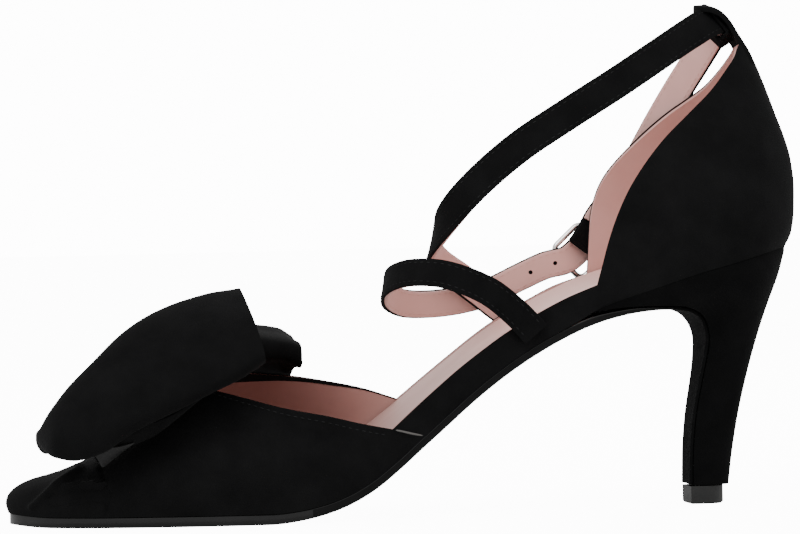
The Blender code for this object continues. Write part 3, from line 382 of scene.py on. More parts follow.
def wall_column(side, zone, t, rows=ROWS):
    """One column of points of the upper, from feather edge to top edge."""
    lat = side == "lat"
    ends = {
        "toe": (0.0, arc_of_x(side, THROAT_X)),
        "vamp": (arc_of_x(side, THROAT_X),
                 arc_of_x(side, VAMP_END_LATERAL_X if lat else VAMP_END_MEDIAL_X)),
        "waist": (arc_of_x(side, VAMP_END_LATERAL_X if lat else VAMP_END_MEDIAL_X),
                  arc_of_x(side, COUNTER_LATERAL_X if lat else COUNTER_MEDIAL_X)),
        "counter": (arc_of_x(side, COUNTER_LATERAL_X if lat else COUNTER_MEDIAL_X),
                    ARC[side][-1]),
    }[zone]
    s = lerp(ends[0], ends[1], t ** 1.35 if zone == "toe" else t)
    foot = at_arc(side, s)
    out = outward(side, s)
    base = np.array([foot[0], foot[1], feather(foot[0])])
    grow = np.linspace(0, 1, rows + 1)
    if zone == "toe":
        rx = lerp(RIDGE_START_X, THROAT_X, t)
        top = np.array([rx, RIDGE.at("y", rx), RIDGE.at("z", rx)])
        slope = (RIDGE.at("z", rx + 1) - RIDGE.at("z", rx - 1)) / 2
        if t == 0:
            slope = 0.42
        flat = (base - top)[:2]
        h2 = np.array([flat[0] * 0.52, flat[1] * 0.52, flat[0] * 0.52 * slope])
        puff = lerp(3.2, 1.7, min(t * 3.0, 1.0))
        h1 = np.array([out[0] * puff, out[1] * puff, 0.60 * (top[2] - base[2])])
        return [bezier(base, base + h1, top + h2, top, v) for v in grow]
    if zone == "vamp":
        line = TOPLINE[side]
        top = np.array([line.at(n, foot[0]) for n in ("x", "y", "z")])
        lean = math.radians(line.at("lean", foot[0]))
        flat = (base - top)[:2]
        flat = flat / max(np.linalg.norm(flat), 1e-6)
        reach = 0.42 * np.linalg.norm(base - top)
        toward = lerp(flat, np.array([0.0, 1.0 if lat else -1.0]), 0.25)
        h2 = np.array([toward[0] * math.cos(lean), toward[1] * math.cos(lean),
                       -math.sin(lean)]) * reach
        puff = lerp(1.7, 0.6, t)
        h1 = np.array([out[0] * puff, out[1] * puff, 0.50 * (top[2] - base[2])])
        return [bezier(base, base + h1, top + h2, top, v) for v in grow]
    if zone == "waist":
        top = np.array([foot[0], foot[1], WAIST_TOP[side].at("z", foot[0])])
        bulge = np.array([out[0], out[1], 0.0]) * 0.35
        return [lerp(base, top, v) + bulge * math.sin(math.pi * v) for v in grow]
    front_x = COUNTER_LATERAL_X if lat else COUNTER_MEDIAL_X
    corner = WAIST_TOP[side].at("z", front_x)
    line = COLLAR[side]
    xt = lerp(front_x, TAB_TOP[0], line.at("x", t) / line.at("x", 1.0))
    zt = lerp(corner, TAB_TOP[1], line.at("z", t) / line.at("z", 1.0))
    eta0 = backpart_eta(foot[0], base[2])
    eta1 = 1.0 if t == 1 else backpart_eta(xt, zt)
    if t == 1:
        eta0 = 1.0
    start = backpart_point(side, eta0, base[2])
    pts = []
    for v in grow:
        z = lerp(base[2], zt, v)
        p = backpart_point(side, lerp(eta0, eta1, v), z)
        p = p + (base - start) * (1 - v) ** 2
        if t == 1:
            p[1] = 0.0
        pts.append(p)
    return pts


def upper_columns(side, rows=ROWS, steps=ZONE_STEPS):
    cols = []
    for zone in ("toe", "vamp", "waist", "counter"):
        n = steps[zone]
        for k in range(n):
            cols.append(wall_column(side, zone, k / n, rows))
    cols.append(wall_column(side, "counter", 1.0, rows))
    return np.array(cols)


def build_upper():
    """One hollow shell, open at throat and collar and under the foot."""
    cols = {s: upper_columns(s) for s in ("med", "lat")}
    last = len(cols["med"]) - 1
    closed = ZONE_STEPS["toe"]
    index, verts = {}, []

    def key(side, i, j):
        shared = i == 0 or i == last or (j == ROWS and i <= closed)
        return ("mid" if shared else side, i, j)

    for side in ("med", "lat"):
        for i in range(last + 1):
            for j in range(ROWS + 1):
                k = key(side, i, j)
                if k not in index:
                    index[k] = len(verts)
                    verts.append(cols[side][i][j])
    faces = []
    for side in ("med", "lat"):
        for i in range(last):
            for j in range(ROWS):
                q = [index[key(side, *c)] for c in
                     ((i, j), (i + 1, j), (i + 1, j + 1), (i, j + 1))]
                q = [v for n, v in enumerate(q) if v != q[n - 1]]
                faces.append(q if side == "med" else q[::-1])
    outer = np.array(verts)
    normal = np.zeros_like(outer)
    for f in faces:
        p = outer[f]
        c = np.zeros(3)
        for n in range(len(f)):
            c += np.cross(p[n], p[(n + 1) % len(f)])
        for v in f:
            normal[v] += c
    normal /= np.linalg.norm(normal, axis=1)[:, None]
    inner = outer - normal * WALL
    for (side, i, j), v in index.items():
        if j == 0:
            flat = normal[v][:2] / np.linalg.norm(normal[v][:2])
            x, y = outer[v][:2] - flat * WALL
            inner[v] = (x, y, feather(x))
    count = len(outer)
    solid = [list(f) for f in faces] + [[v + count for v in f[::-1]] for f in faces]
    foot, top = [], []
    for side in ("med", "lat"):
        ring = [index[key(side, i, 0)] for i in range(last + 1)]
        rim = [index[key(side, i, ROWS)] for i in range(closed, last + 1)]
        for line, store, flip in ((ring, foot, side == "lat"), (rim, top, side == "med")):
            for a, b in zip(line[:-1], line[1:]):
                q = [a, a + count, b + count, b]
                store.append(q[::-1] if flip else q)
    return np.concatenate([outer, inner]), solid + foot + top


# ------------------------------------------------------------ loft helper
def loft(sections, close_ends=True):
    """Skin through sections of equal point counts, with both ends capped."""
    sec = [np.array(s, float) for s in sections]
    n = len(sec[0])
    verts = np.concatenate(sec)
    faces = []
    for k in range(len(sec) - 1):
        for j in range(n):
            a, b = k * n + j, k * n + (j + 1) % n
            faces.append([a, b, b + n, a + n])
    if close_ends:
        faces.append(list(range(n))[::-1])
        faces.append([(len(sec) - 1) * n + j for j in range(n)])
    return verts, faces


# ----------------------------------------------------------------- insole
# Footbed surface along the edges, before it meets the waist wall.
FOOTBED = Table("x med lat", [
    (3.0, 6.9, 6.9), (40.0, 6.9, 6.9), (62.0, 7.1, 7.1), (72.0, 7.9, 7.8),
    (80.0, 9.7, 9.3), (88.0, 13.0, 11.8), (96.0, 17.6, 15.4),
    (102.0, 21.4, 18.8), (108.0, 25.2, 22.8), (114.0, 30.1, 27.4),
    (119.0, 34.1, 31.3), (127.0, 40.3, 37.9), (134.0, 45.3, 43.5),
    (141.0, 50.0, 49.0), (148.0, 54.2, 53.8), (159.0, 60.0, 60.2),
    (166.0, 62.9, 63.4), (172.0, 65.2, 66.0), (185.0, 69.4, 69.8),
    (200.0, 73.0, 73.2), (215.0, 75.6, 75.6), (228.0, 76.8, 76.8),
])
FOOTBED_CUP = 0.9


def build_insole():
    edge = inset_sides(WALL + GAP + 0.35)
    x0 = edge["med"][0][0] + 0.15
    x1 = edge["med"][-1][0] - 0.15
    t = np.linspace(0, 1, 121)
    xs = x0 + (x1 - x0) * (t - 0.55 * np.sin(2 * math.pi * t) / (2 * math.pi))
    across = np.linspace(-1.0, 1.0, 15)
    sections = []
    for x in xs:
        ym, yl = inset_y(edge, "med", x), inset_y(edge, "lat", x)
        mid, half = (ym + yl) / 2, (yl - ym) / 2
        low, high = [], []
        for a in across:
            y = mid + half * a
            top = lerp(FOOTBED.at("med", x), FOOTBED.at("lat", x), (a + 1) / 2)
            top -= FOOTBED_CUP * (1 - a * a)
            high.append((x, y, top))
            low.append((x, y, feather(x)))
        sections.append(low + high[::-1])
    return loft(sections)


# ---------------------------------------------------------------- outsole
# The sole's underside where it turns and runs down the heel breast.
BREAST_LINE = Table("row x z half", [
    (0, BREAST_X, 56.9, 20.0), (1, 193.3, 56.8, 17.3), (2, 199.0, 55.7, 13.6),
    (3, 202.2, 52.8, 11.6), (4, 203.6, 47.6, 9.8), (5, 202.3, 38.0, 7.2),
    (6, 200.2, 27.0, 6.2), (7, 199.0, 15.5, 5.9), (8, 198.7, 5.8, 5.8),
])


def breast_at(row):
    """Point, downward-outward tangent and half breadth on the breast."""
    p = np.array([BREAST_LINE.at("x", row), BREAST_LINE.at("z", row)])
    a, b = max(row - 0.05, 0), min(row + 0.05, 8)
    d = np.array([BREAST_LINE.at("x", b) - BREAST_LINE.at("x", a),
                  BREAST_LINE.at("z", b) - BREAST_LINE.at("z", a)])
    d /= np.linalg.norm(d)
    return p, d, BREAST_LINE.at("half", row)


def rounded(corners):
    """The four-cornered section with softened edges and points across."""
    c = np.array(corners, float)
    r = min(0.35, np.linalg.norm(c[3] - c[0]) * 0.2)
    out = []
    for k in range(4):
        p, a, b = c[k], c[k - 1], c[(k + 1) % 4]
        ea, eb = (a - p) / np.linalg.norm(a - p), (b - p) / np.linalg.norm(b - p)
        out += [p + ea * r, p + (ea + eb) * r * 0.3, p + eb * r]
        if k in (0, 2):
            out += [lerp(p + eb * r, b - eb * r, t) for t in np.linspace(0, 1, 13)[1:-1]]
    return out


def build_outsole():
    edge = inset_sides(0.35)
    x0 = edge["med"][0][0] + 0.15
    front = x0 + (TREAD_START_X - x0) * np.array([0, 0.03, 0.1, 0.22, 0.4, 0.65]) 
    xs = list(front) + list(np.linspace(TREAD_START_X, TREAD_END_X, 9))
    xs += list(np.linspace(TREAD_END_X + 4, BREAST_X, 30))
    sections = []
    for x in xs:
        ym, yl = inset_y(edge, "med", x), inset_y(edge, "lat", x)
        narrow = min(max((x - 163.0) / (BREAST_X - 163.0), 0.0), 1.0)
        narrow = narrow * narrow * (3 - 2 * narrow)
        ym, yl = lerp(ym, -20.0, narrow), lerp(yl, 20.0, narrow)
        low, high = sole_bottom(x), sole_top(x)
        sections.append([(x, ym, low), (x, yl, low), (x, yl, high), (x, ym, high)])
    for row in np.linspace(0.5, 8, 16):
        p, d, half = breast_at(row)
        n = np.array([-d[1], d[0]])
        q = p + n * SOLE_BREAST
        sections.append([(p[0], -half, p[1]), (p[0], half, p[1]),
                         (q[0], half, q[1]), (q[0], -half, q[1])])
    return loft(refine([rounded(s) for s in sections], 3))


# ------------------------------------------------------------------- heel
# Heel rings from the lift up: breast row, back edge, breadths, seat share.
HEEL = Table("ring breast back_x back_z half_mid seat", [
    (0, 8.00, 211.2, 5.5, 6.8, 0.00),
    (1, 7.00, 212.5, 15.0, 7.3, 0.00),
    (2, 6.00, 214.5, 26.0, 8.1, 0.00),
    (3, 5.00, 217.4, 38.0, 9.7, 0.00),
    (4, 4.10, 220.1, 47.5, 11.8, 0.04),
    (5, 3.30, 222.7, 55.5, 14.2, 0.12),
    (6, 2.50, 224.9, 61.5, 17.0, 0.28),
    (7, 1.60, 226.8, 66.5, 20.0, 0.50),
    (8, 0.60, 228.0, 70.5, 22.8, 0.76),
])
WEDGE_TIP_X = 168.5


def d_half(u, front, mid):
    """Half breadth of a D-shaped ring: flat breast, round back."""
    if u < 0.45:
        return lerp(front, mid, math.sin(math.pi / 2 * u / 0.45))
    return mid * math.sqrt(max(1 - ((u - 0.45) / 0.55) ** 2.2, 0.0))


def seat_z(x):
    return feather(x) - 0.08


def build_heel():
    edge = inset_sides(0.15)
    steps = 26
    us = [1 - (1 - k / steps) ** 1.7 for k in range(steps + 1)]
    sections = []
    back_top = edge["med"][-1][0] - 0.1
    tip = np.array([WEDGE_TIP_X, seat_z(WEDGE_TIP_X)])
    top_back = np.array([back_top, seat_z(back_top)])
    for ring in range(11):
        if ring < 9:
            row = HEEL.at("breast", ring)
            p, d, half = breast_at(row)
            f = p + np.array([-d[1], d[0]]) * (SOLE_BREAST + GAP)
            b = np.array([HEEL.at("back_x", ring), HEEL.at("back_z", ring)])
            mid, share = HEEL.at("half_mid", ring), HEEL.at("seat", ring)
            if ring == 0:
                f[1] = b[1]
        elif ring == 9:
            x = 179.0
            f = np.array([x, sole_top(x) + GAP + 0.25])
            b = lerp(np.array([228.4, 70.5]), top_back, 0.55)
            half, mid, share = 21.0, 24.0, 0.92
        else:
            f, b = tip, top_back
            half, mid, share = 21.4, 25.4, 1.0
        med, lat = [], []
        for u in us:
            q = lerp(f, b, u)
            xt = lerp(tip[0], top_back[0], u)
            chord = lerp(tip[1], top_back[1], u)
            q = q + np.array([0, (seat_z(xt) - chord) * share])
            dm = -d_half(u, half, mid)
            om, ol = inset_y(edge, "med", xt), inset_y(edge, "lat", xt)
            if u == 1:
                om = ol = 0.0
            med.append((q[0], lerp(dm, om, share), q[1]))
            lat.append((q[0], lerp(-dm, ol, share), q[1]))
        sections.append(med + lat[-2::-1])
    sections = refine(sections, 6)
    verts, faces = loft(sections, close_ends=False)
    n = 2 * steps + 1
    for base, flip in ((0, False), ((len(sections) - 1) * n, True)):
        for k in range(steps):
            a, b = base + k, base + k + 1
            c, d = base + n - 2 - k, base + n - 1 - k
            q = [a, b, c, d] if b != c else [a, b, d]
            faces.append(q[::-1] if flip else q)
    return verts, faces


def build_lift():
    """Rubber top lift, a little proud of the heel all round."""
    p, d, half = breast_at(8.0)
    x0, x1, proud = p[0] + 0.5, 209.2, 0.25
    us = [1 - (1 - k / 24) ** 1.7 for k in range(25)]
    rings = []
    for z, grow in ((0.0, -0.2), (0.5, proud), (LIFT_HEIGHT, proud)):
        med = [(lerp(x0 - grow, x1 + grow, u), -(d_half(u, half, 6.3) + grow * (u < 1)), z)
               for u in us]
        lat = [(x, -y, zz) for x, y, zz in med]
        med[-1] = (x1 + grow, 0.0, z)
        rings.append(med + lat[-2::-1])
    return loft(rings)


# ----------------------------------------------------------------- straps
# Centre lines of the two ankle straps, and how far each face tips upward.
STRAP_A = Table("row x y z tip", [
    (0, 151.8, -22.1, 50.3, 0.0), (1, 147.6, -22.2, 55.2, 0.0),
    (2, 143.0, -23.6, 59.4, 0.1), (3, 137.5, -25.6, 63.4, 0.2),
    (4, 130.5, -27.0, 66.7, 0.3), (5, 123.3, -26.0, 68.9, 0.4),
    (6, 116.4, -21.0, 69.3, 0.4), (7, 112.6, -12.0, 68.0, 0.3),
    (8, 111.7, 0.0, 65.4, 0.2), (9, 114.3, 11.0, 62.2, 0.1),
    (10, 120.0, 19.5, 59.8, 0.1), (11, 128.4, 26.0, 59.2, 0.1),
    (12, 138.0, 30.3, 60.0, 0.0), (13, 147.4, 31.7, 62.2, 0.0),
    (14, 156.6, 31.0, 66.4, 0.0), (15, 164.2, 28.6, 69.8, 0.0),
])
STRAP_B = Table("row x y z tip", [
    (0, 160.0, 29.0, 49.6, 0.0), (1, 155.0, 29.1, 54.2, 0.0),
    (2, 149.9, 28.6, 57.8, 0.0), (3, 144.6, 27.1, 61.8, 0.0),
    (4, 138.0, 24.0, 66.6, 0.05), (5, 130.8, 18.6, 71.4, 0.1),
    (6, 127.2, 9.5, 75.0, 0.2), (7, 126.3, -1.5, 78.6, 0.2),
    (8, 127.3, -11.0, 83.3, 0.1), (9, 131.3, -19.0, 89.9, 0.0),
    (10, 137.7, -23.4, 96.8, 0.0), (11, 147.3, -25.4, 104.7, 0.0),
    (12, 161.4, -25.0, 113.6, 0.0), (13, 176.1, -22.4, 122.2, 0.1),
    (14, 188.7, -17.6, 129.7, 0.2), (15, 199.4, -11.6, 135.8, 0.4),
    (16, 206.6, -5.6, 139.2, 0.7), (17, 210.2, 0.6, 139.4, 0.8),
    (18, 210.6, 6.0, 136.6, 0.6), (19, 208.2, 11.4, 131.0, 0.35),
    (20, 203.3, 18.5, 121.6, 0.15), (21, 197.9, 23.4, 111.2, 0.05),
    (22, 193.2, 27.2, 101.6, 0.0), (23, 188.0, 29.3, 92.2, 0.0),
])
ANKLE_A = (152.0, 40.0, 28.0)      # centre x and half axes used for facing
ANKLE_B = (168.0, 43.0, 27.0)

# Buckle seat: centre, slope of the strap there, and sizes.
BUCKLE_AT = (174.8, 28.4, 73.7)
BUCKLE_SLOPE = math.radians(43)
BUCKLE_INNER = (9.8, 10.8)        # along and across the strap
BUCKLE_WIRE = 1.7


def buckle_frame():
    """Axes at the buckle: along the strap, across it, and outward."""
    u = np.array([math.cos(BUCKLE_SLOPE), 0.0, math.sin(BUCKLE_SLOPE)])
    n = np.array([0.0, 1.0, 0.0])
    return np.array(BUCKLE_AT), u, np.cross(n, u), n


def buckle_point(along, out=0.0, across=0.0):
    o, u, v, n = buckle_frame()
    return o + u * along + v * across + n * out


def facing(p, tangent, ankle, tip):
    """Outward unit normal of a strap lying round the ankle."""
    cx, a, b = ankle
    n = np.array([(p[0] - cx) / a ** 2, p[1] / b ** 2, 0.0])
    n /= np.linalg.norm(n)
    n[2] = tip
    n -= tangent * np.dot(n, tangent)
    return n / np.linalg.norm(n)


def tangents(path):
    t = np.gradient(path, axis=0)
    return t / np.linalg.norm(t, axis=1)[:, None]


FREE_END_LIFT = 3.1        # free end of strap a over strap b, behind the buckle


def strap_path(name):
    """Centre line and outward normals of a whole strap."""
    if name == "a":
        table, ankle = STRAP_A, ANKLE_A
        tail = [buckle_point(*q) for q in
                ((-5.6, -0.15, -1.5), (-2.8, 1.2, -0.8), (0.1, 3.3, -0.4),
                 (3.2, 4.5, -0.5), (6.0, 4.75, -1.3), (9.0, 4.5, -2.3))]
        back, _, out = strap_path("b")
        for left in (14.0, 20.0, 26.0, 33.0):
            p, _, n = frame_on(back, back, out, arc_length(back)[-1] - left)
            tail.append(p + n * FREE_END_LIFT)
    else:
        table, ankle = STRAP_B, ANKLE_B
        tail = [buckle_point(*q) for q in
                ((10.5, 0.9, -3.0), (6.5, 0.2, -1.8), (3.0, 0.1, -1.0),
                 (0.2, 0.0, -0.5))]
    rows = [tuple(r) for r in table.points("x", "y", "z", "tip")]
    rows += [tuple(q) + (0.0,) for q in tail]
    dense = smooth_path(rows, 10)
    dense = resample(dense, 84 if name == "a" else 96)
    path, tip = dense[:, :3], dense[:, 3]
    t = tangents(path)
    n = np.array([facing(path[k], t[k], ankle, tip[k]) for k in range(len(path))])
    flat = np.array([0.0, 1.0, 0.0])
    near = np.linalg.norm(path - np.array(BUCKLE_AT), axis=1)
    for k in range(len(path)):
        blend = min(max((26.0 - near[k]) / 10.0, 0.0), 1.0)
        if path[k][1] > 15 and blend > 0:
            m = flat - t[k] * np.dot(flat, t[k])
            n[k] = lerp(n[k], m / np.linalg.norm(m), blend)
            n[k] -= t[k] * np.dot(n[k], t[k])
            n[k] /= np.linalg.norm(n[k])
    return path, t, n


def arc_length(path):
    return np.concatenate([[0], np.cumsum(np.linalg.norm(np.diff(path, axis=0), axis=1))])


def frame_on(path, t, n, want):
    """Point, tangent and normal at a distance along the path."""
    s = arc_length(path)
    p, tt, nn = (np.array([np.interp(want, s, q[:, k]) for k in range(3)])
                 for q in (path, t, n))
    tt = tt / np.linalg.norm(tt)
    return p, tt, nn / np.linalg.norm(nn)


def ribbon(path, t, n, width, thick, taper_end=False, slot=None):
    """Flat strap along a path; slot is (first row, last row, half width)."""
    verts, faces = [], []
    for k in range(len(path)):
        w = np.cross(t[k], n[k])
        half = width / 2
        if taper_end:
            half *= min(1.0, 0.55 + 0.2 * (len(path) - 1 - k))
        mid = slot[2] if slot else half * 0.4
        h = n[k] * thick / 2
        for face in (-1, 1):
            for across in (-half, -mid, mid, half):
                verts.append(path[k] + w * across + h * face)

    def at(k, face, column):
        return k * 8 + face * 4 + column

    def solid(k, column):
        if not (0 <= k < len(path) - 1 and 0 <= column < 3):
            return False
        return not (slot and column == 1 and slot[0] <= k < slot[1])

    for k in range(len(path) - 1):
        for c in range(3):
            if not solid(k, c):
                continue
            for face in (0, 1):
                q = [at(k, face, c), at(k, face, c + 1),
                     at(k + 1, face, c + 1), at(k + 1, face, c)]
                faces.append(q if face == 0 else q[::-1])
            for there, a, b in ((solid(k, c - 1), (k, c), (k + 1, c)),
                                (solid(k, c + 1), (k + 1, c + 1), (k, c + 1)),
                                (solid(k - 1, c), (k, c + 1), (k, c)),
                                (solid(k + 1, c), (k + 1, c), (k + 1, c + 1))):
                if not there:
                    faces.append([at(a[0], 0, a[1]), at(b[0], 0, b[1]),
                                  at(b[0], 1, b[1]), at(a[0], 1, a[1])])
    return np.array(verts), faces


PRONG_SLOT = (-1.7, 3.7, 1.0)      # along the strap from, to, and half width


def build_strap_a():
    path, t, n = strap_path("a")
    o, u, _, _ = buckle_frame()
    along = (path - o) @ u
    first = int(np.argmin(np.abs(along - PRONG_SLOT[0]) + (path[:, 1] < 20) * 99))
    last = int(np.argmin(np.abs(along - PRONG_SLOT[1]) + (path[:, 1] < 20) * 99))
    return ribbon(path, t, n, STRAP_A_WIDTH, STRAP_THICK, taper_end=True,
                  slot=(first, last, PRONG_SLOT[2]))


def build_strap_b():
    path, t, n = strap_path("b")
    return ribbon(path, t, n, STRAP_B_WIDTH, STRAP_THICK)


HEEL_LOOP_HALF = 7.0       # half length of the tunnel along the strap
LOOP_WALL = 0.7


def build_heel_loop():
    """Suede tunnel that holds the strap at the top of the back tab."""
    path, t, n = strap_path("b")
    mid = arc_length(path)[int(np.argmax(path[:, 0]))] - 1.5
    sections = []
    for want in np.linspace(mid - HEEL_LOOP_HALF, mid + 2.5, 41):
        p, tt, nn = frame_on(path, t, n, want)
        nn -= tt * np.dot(nn, tt)
        nn /= np.linalg.norm(nn)
        ww = np.cross(tt, nn)
        a, b = STRAP_B_WIDTH / 2 + GAP + 0.1, STRAP_THICK / 2 + GAP + 0.1
        hole = [p + ww * x + nn * y for x, y in ((-a, -b), (a, -b), (a, b), (-a, b))]
        a, b = a + LOOP_WALL, b + LOOP_WALL
        c = LOOP_WALL * 0.8
        skin = [p + ww * x + nn * y for x, y in
                ((-a + c, -b), (a - c, -b), (a, -b + c), (a, b - c),
                 (a - c, b), (-a + c, b), (-a, b - c), (-a, -b + c))]
        sections.append((skin, hole))
    return tunnel(sections)


def tunnel(sections):
    """A tube with an eight-sided outside and a four-sided hole."""
    verts, faces = [], []
    for skin, hole in sections:
        verts += list(skin) + list(hole)
    for k in range(len(sections) - 1):
        for j in range(8):
            a, b = k * 12 + j, k * 12 + (j + 1) % 8
            faces.append([a, b, b + 12, a + 12])
        for j in range(4):
            a, b = k * 12 + 8 + j, k * 12 + 8 + (j + 1) % 4
            faces.append([a, a + 12, b + 12, b])
    for base, flip in ((0, True), ((len(sections) - 1) * 12, False)):
        for j, (a, b, h) in enumerate(((0, 1, 0), (2, 3, 1), (4, 5, 2), (6, 7, 3))):
            h2 = 8 + (h + 1) % 4
            side = [base + a, base + b, base + h2, base + 8 + h]
            corner = [base + b, base + (b + 1) % 8, base + h2]
            faces.append(side[::-1] if flip else side)
            faces.append(corner[::-1] if flip else corner)
    return np.array(verts), faces


def build_keeper():
    """Small loop behind the buckle that holds the strap's free end."""
    path, t, n = strap_path("b")
    a = STRAP_B_WIDTH / 2 + GAP
    low = -STRAP_THICK / 2 - GAP
    high = FREE_END_LIFT + STRAP_THICK / 2 + GAP + 0.7
    g, c = 0.9, 0.6
    sections = []
    for want in (24.4, 22.2, 20.0):
        p, tt, nn = frame_on(path, t, n, arc_length(path)[-1] - want)
        w = np.cross(tt, nn)
        hole = [p + w * x + nn * y for x, y in
                ((-a, low), (a, low), (a, high), (-a, high))]
        skin = [p + w * x + nn * y for x, y in
                ((-a - g + c, low - g), (a + g - c, low - g), (a + g, low - g + c),
                 (a + g, high + g - c), (a + g - c, high + g), (-a - g + c, high + g),
                 (-a - g, high + g - c), (-a - g, low - g + c))]
        sections.append((skin, hole))
    return tunnel(sections)


def build_buckle():
    """Rectangular frame of round wire with rounded corners."""
    a = BUCKLE_INNER[0] / 2 + BUCKLE_WIRE / 2
    b = BUCKLE_INNER[1] / 2 + BUCKLE_WIRE / 2
    corner, out = 2.2, 2.3
    centre = []
    for cx, cy, start in ((a - corner, b - corner, 0), (-a + corner, b - corner, 90),
                          (-a + corner, -b + corner, 180), (a - corner, -b + corner, 270)):
        for k in range(10):
            ang = math.radians(start + 10 * k)
            centre.append((cx + corner * math.cos(ang), cy + corner * math.sin(ang)))
    rings, count, sides = [], len(centre), 20
    for k in range(count):
        prev, nxt = centre[k - 1], centre[(k + 1) % count]
        d = np.array([nxt[0] - prev[0], nxt[1] - prev[1]])
        d /= np.linalg.norm(d)
        for j in range(sides):
            ang = 2 * math.pi * j / sides
            r = BUCKLE_WIRE / 2
            x = centre[k][0] + d[1] * r * math.cos(ang)
            y = centre[k][1] - d[0] * r * math.cos(ang)
            rings.append(buckle_point(x, out + r * math.sin(ang), y))
    faces = []
    for k in range(count):
        for j in range(sides):
            p, q = k * sides + j, k * sides + (j + 1) % sides
            m = ((k + 1) % count) * sides
            faces.append([p, q, m + (j + 1) % sides, m + j])
    return np.array(rings), faces


def build_prong():
    """Pin from the rear bar to the front bar, outside the strap."""
    spine = [(4.2, 2.1, -0.6, 0.62), (2.2, 2.6, -0.55, 0.62), (0.4, 3.3, -0.5, 0.62),
             (-1.6, 4.05, -0.7, 0.6), (-4.2, 4.4, -0.9, 0.55), (-6.9, 3.95, -1.0, 0.4)]
    path = smooth_path(spine, 10)
    sections = []
    for along, out, across, r in path:
        ring = []
        for j in range(16):
            ang = 2 * math.pi * j / 16
            ring.append(buckle_point(along, out + r * math.sin(ang),
                                     across + r * math.cos(ang)))
        sections.append(ring)
    return loft(sections)


# -------------------------------------------------------------------- bow
# Sections of each bow loop from its front end to its rear edge.  crest is
# the highest line, fold the outer turned edge, root the side at the knot.
BOW_NEAR = Table("row x root_z crest_y crest_z fold_y fold_z low_z", [
    (0, 7.6, 25.0, -31.0, 28.6, -35.0, 26.0, 23.8),
    (1, 11.0, 23.0, -30.0, 33.1, -40.5, 24.8, 21.2),
    (2, 16.5, 24.0, -27.5, 40.3, -43.0, 24.8, 19.8),
    (3, 23.8, 28.6, -25.5, 47.3, -44.0, 27.2, 21.8),
    (4, 32.0, 34.0, -23.0, 54.2, -44.0, 30.6, 27.0),
    (5, 41.0, 40.0, -20.5, 59.5, -43.5, 34.4, 31.6),
    (6, 51.0, 45.5, -18.0, 63.5, -42.5, 39.0, 36.6),
    (7, 60.0, 49.8, -16.0, 65.7, -41.0, 43.6, 40.8),
    (8, 67.2, 52.5, -15.0, 66.2, -39.0, 47.8, 45.4),
])
BOW_FAR = Table("row x root_z crest_y crest_z fold_y fold_z low_z", [
    (0, 29.0, 30.0, 30.0, 33.0, 35.0, 30.4, 28.4),
    (1, 33.0, 32.0, 30.0, 38.0, 41.0, 31.0, 28.0),
    (2, 42.0, 37.0, 28.0, 46.0, 44.5, 34.0, 31.0),
    (3, 52.0, 42.0, 26.0, 51.6, 45.5, 37.6, 35.0),
    (4, 62.0, 46.0, 24.0, 54.8, 45.5, 38.6, 35.4),
    (5, 71.0, 48.0, 24.0, 54.9, 45.5, 37.4, 34.0),
    (6, 78.0, 47.6, 27.0, 54.6, 45.5, 37.0, 33.6),
    (7, 84.0, 46.8, 31.0, 53.6, 45.0, 37.8, 34.8),
    (8, 87.8, 45.4, 34.0, 51.0, 44.0, 39.6, 37.0),
])
KNOT_HALF = 8.5
BOW_ROOT = 9.4            # distance of each loop's inner side from the centre


def bow_section(table, row, side):
    """Closed teardrop section of a loop in a plane across the foot."""
    x, root_z, cy, cz, fy, fz, low = (
        table.at(n, row) for n in
        ("x", "root_z", "crest_y", "crest_z", "fold_y", "fold_z", "low_z"))
    sgn = -1 if side == "med" else 1
    root_y = sgn * BOW_ROOT - 2.0
    ring = [
        (root_y, root_z - 2.2), (root_y, root_z + 2.6),
        (lerp(root_y, cy, 0.55), lerp(root_z, cz, 0.82)), (cy, cz),
        (lerp(cy, fy, 0.52), lerp(cz, fz, 0.30)), (lerp(cy, fy, 0.88), lerp(cz, fz, 0.68)),
        (fy, fz), (lerp(fy, cy, 0.16), low), (lerp(fy, root_y, 0.55), lerp(low, root_z - 2.2, 0.75)),
    ]
    skew = 0.21 * (row / 8) ** 1.5 if side == "med" else 0.0
    return [(x + skew * (cz - z), y, z) for y, z in ring]


def build_bow(table, side):
    sections = []
    for row in np.linspace(0, 8, 15):
        ring = np.array(bow_section(table, row, side))
        dense = smooth_path(ring, 2, closed=True)
        centre = ring.mean(0)
        shrink = 1.0
        if row == 0:
            shrink = 0.35
        elif row < 1.2:
            shrink = lerp(0.35, 1.0, math.sin(math.pi / 2 * row / 1.2))
        dense = centre + (dense - centre) * shrink
        sections.append(dense)
    return loft(sections)


KNOT = Table("row x z_low z_high half", [
    (0, 33.0, 26.5, 36.0, 6.0), (1, 37.0, 29.0, 41.5, 7.2),
    (2, 43.0, 33.6, 47.0, 7.9), (3, 50.0, 39.8, 52.0, 8.0),
    (4, 57.0, 42.6, 55.0, 7.8), (5, 62.0, 43.8, 54.0, 6.8),
])


def build_knot():
    """Band over the middle of the bow, lying on the vamp at the throat."""
    sections = []
    for row in np.linspace(0, 5, 9):
        x, lo, hi, half = (KNOT.at(n, row) for n in ("x", "z_low", "z_high", "half"))
        mid, c = (lo + hi) / 2, -2.0
        ring = []
        for k in range(12):
            a = 2 * math.pi * k / 12
            sy = math.copysign(abs(math.cos(a)) ** 0.6, math.cos(a))
            sz = math.copysign(abs(math.sin(a)) ** 0.7, math.sin(a))
            ring.append((x, c + half * sy, mid + (hi - lo) / 2 * sz))
        sections.append(ring)
    return loft(sections)


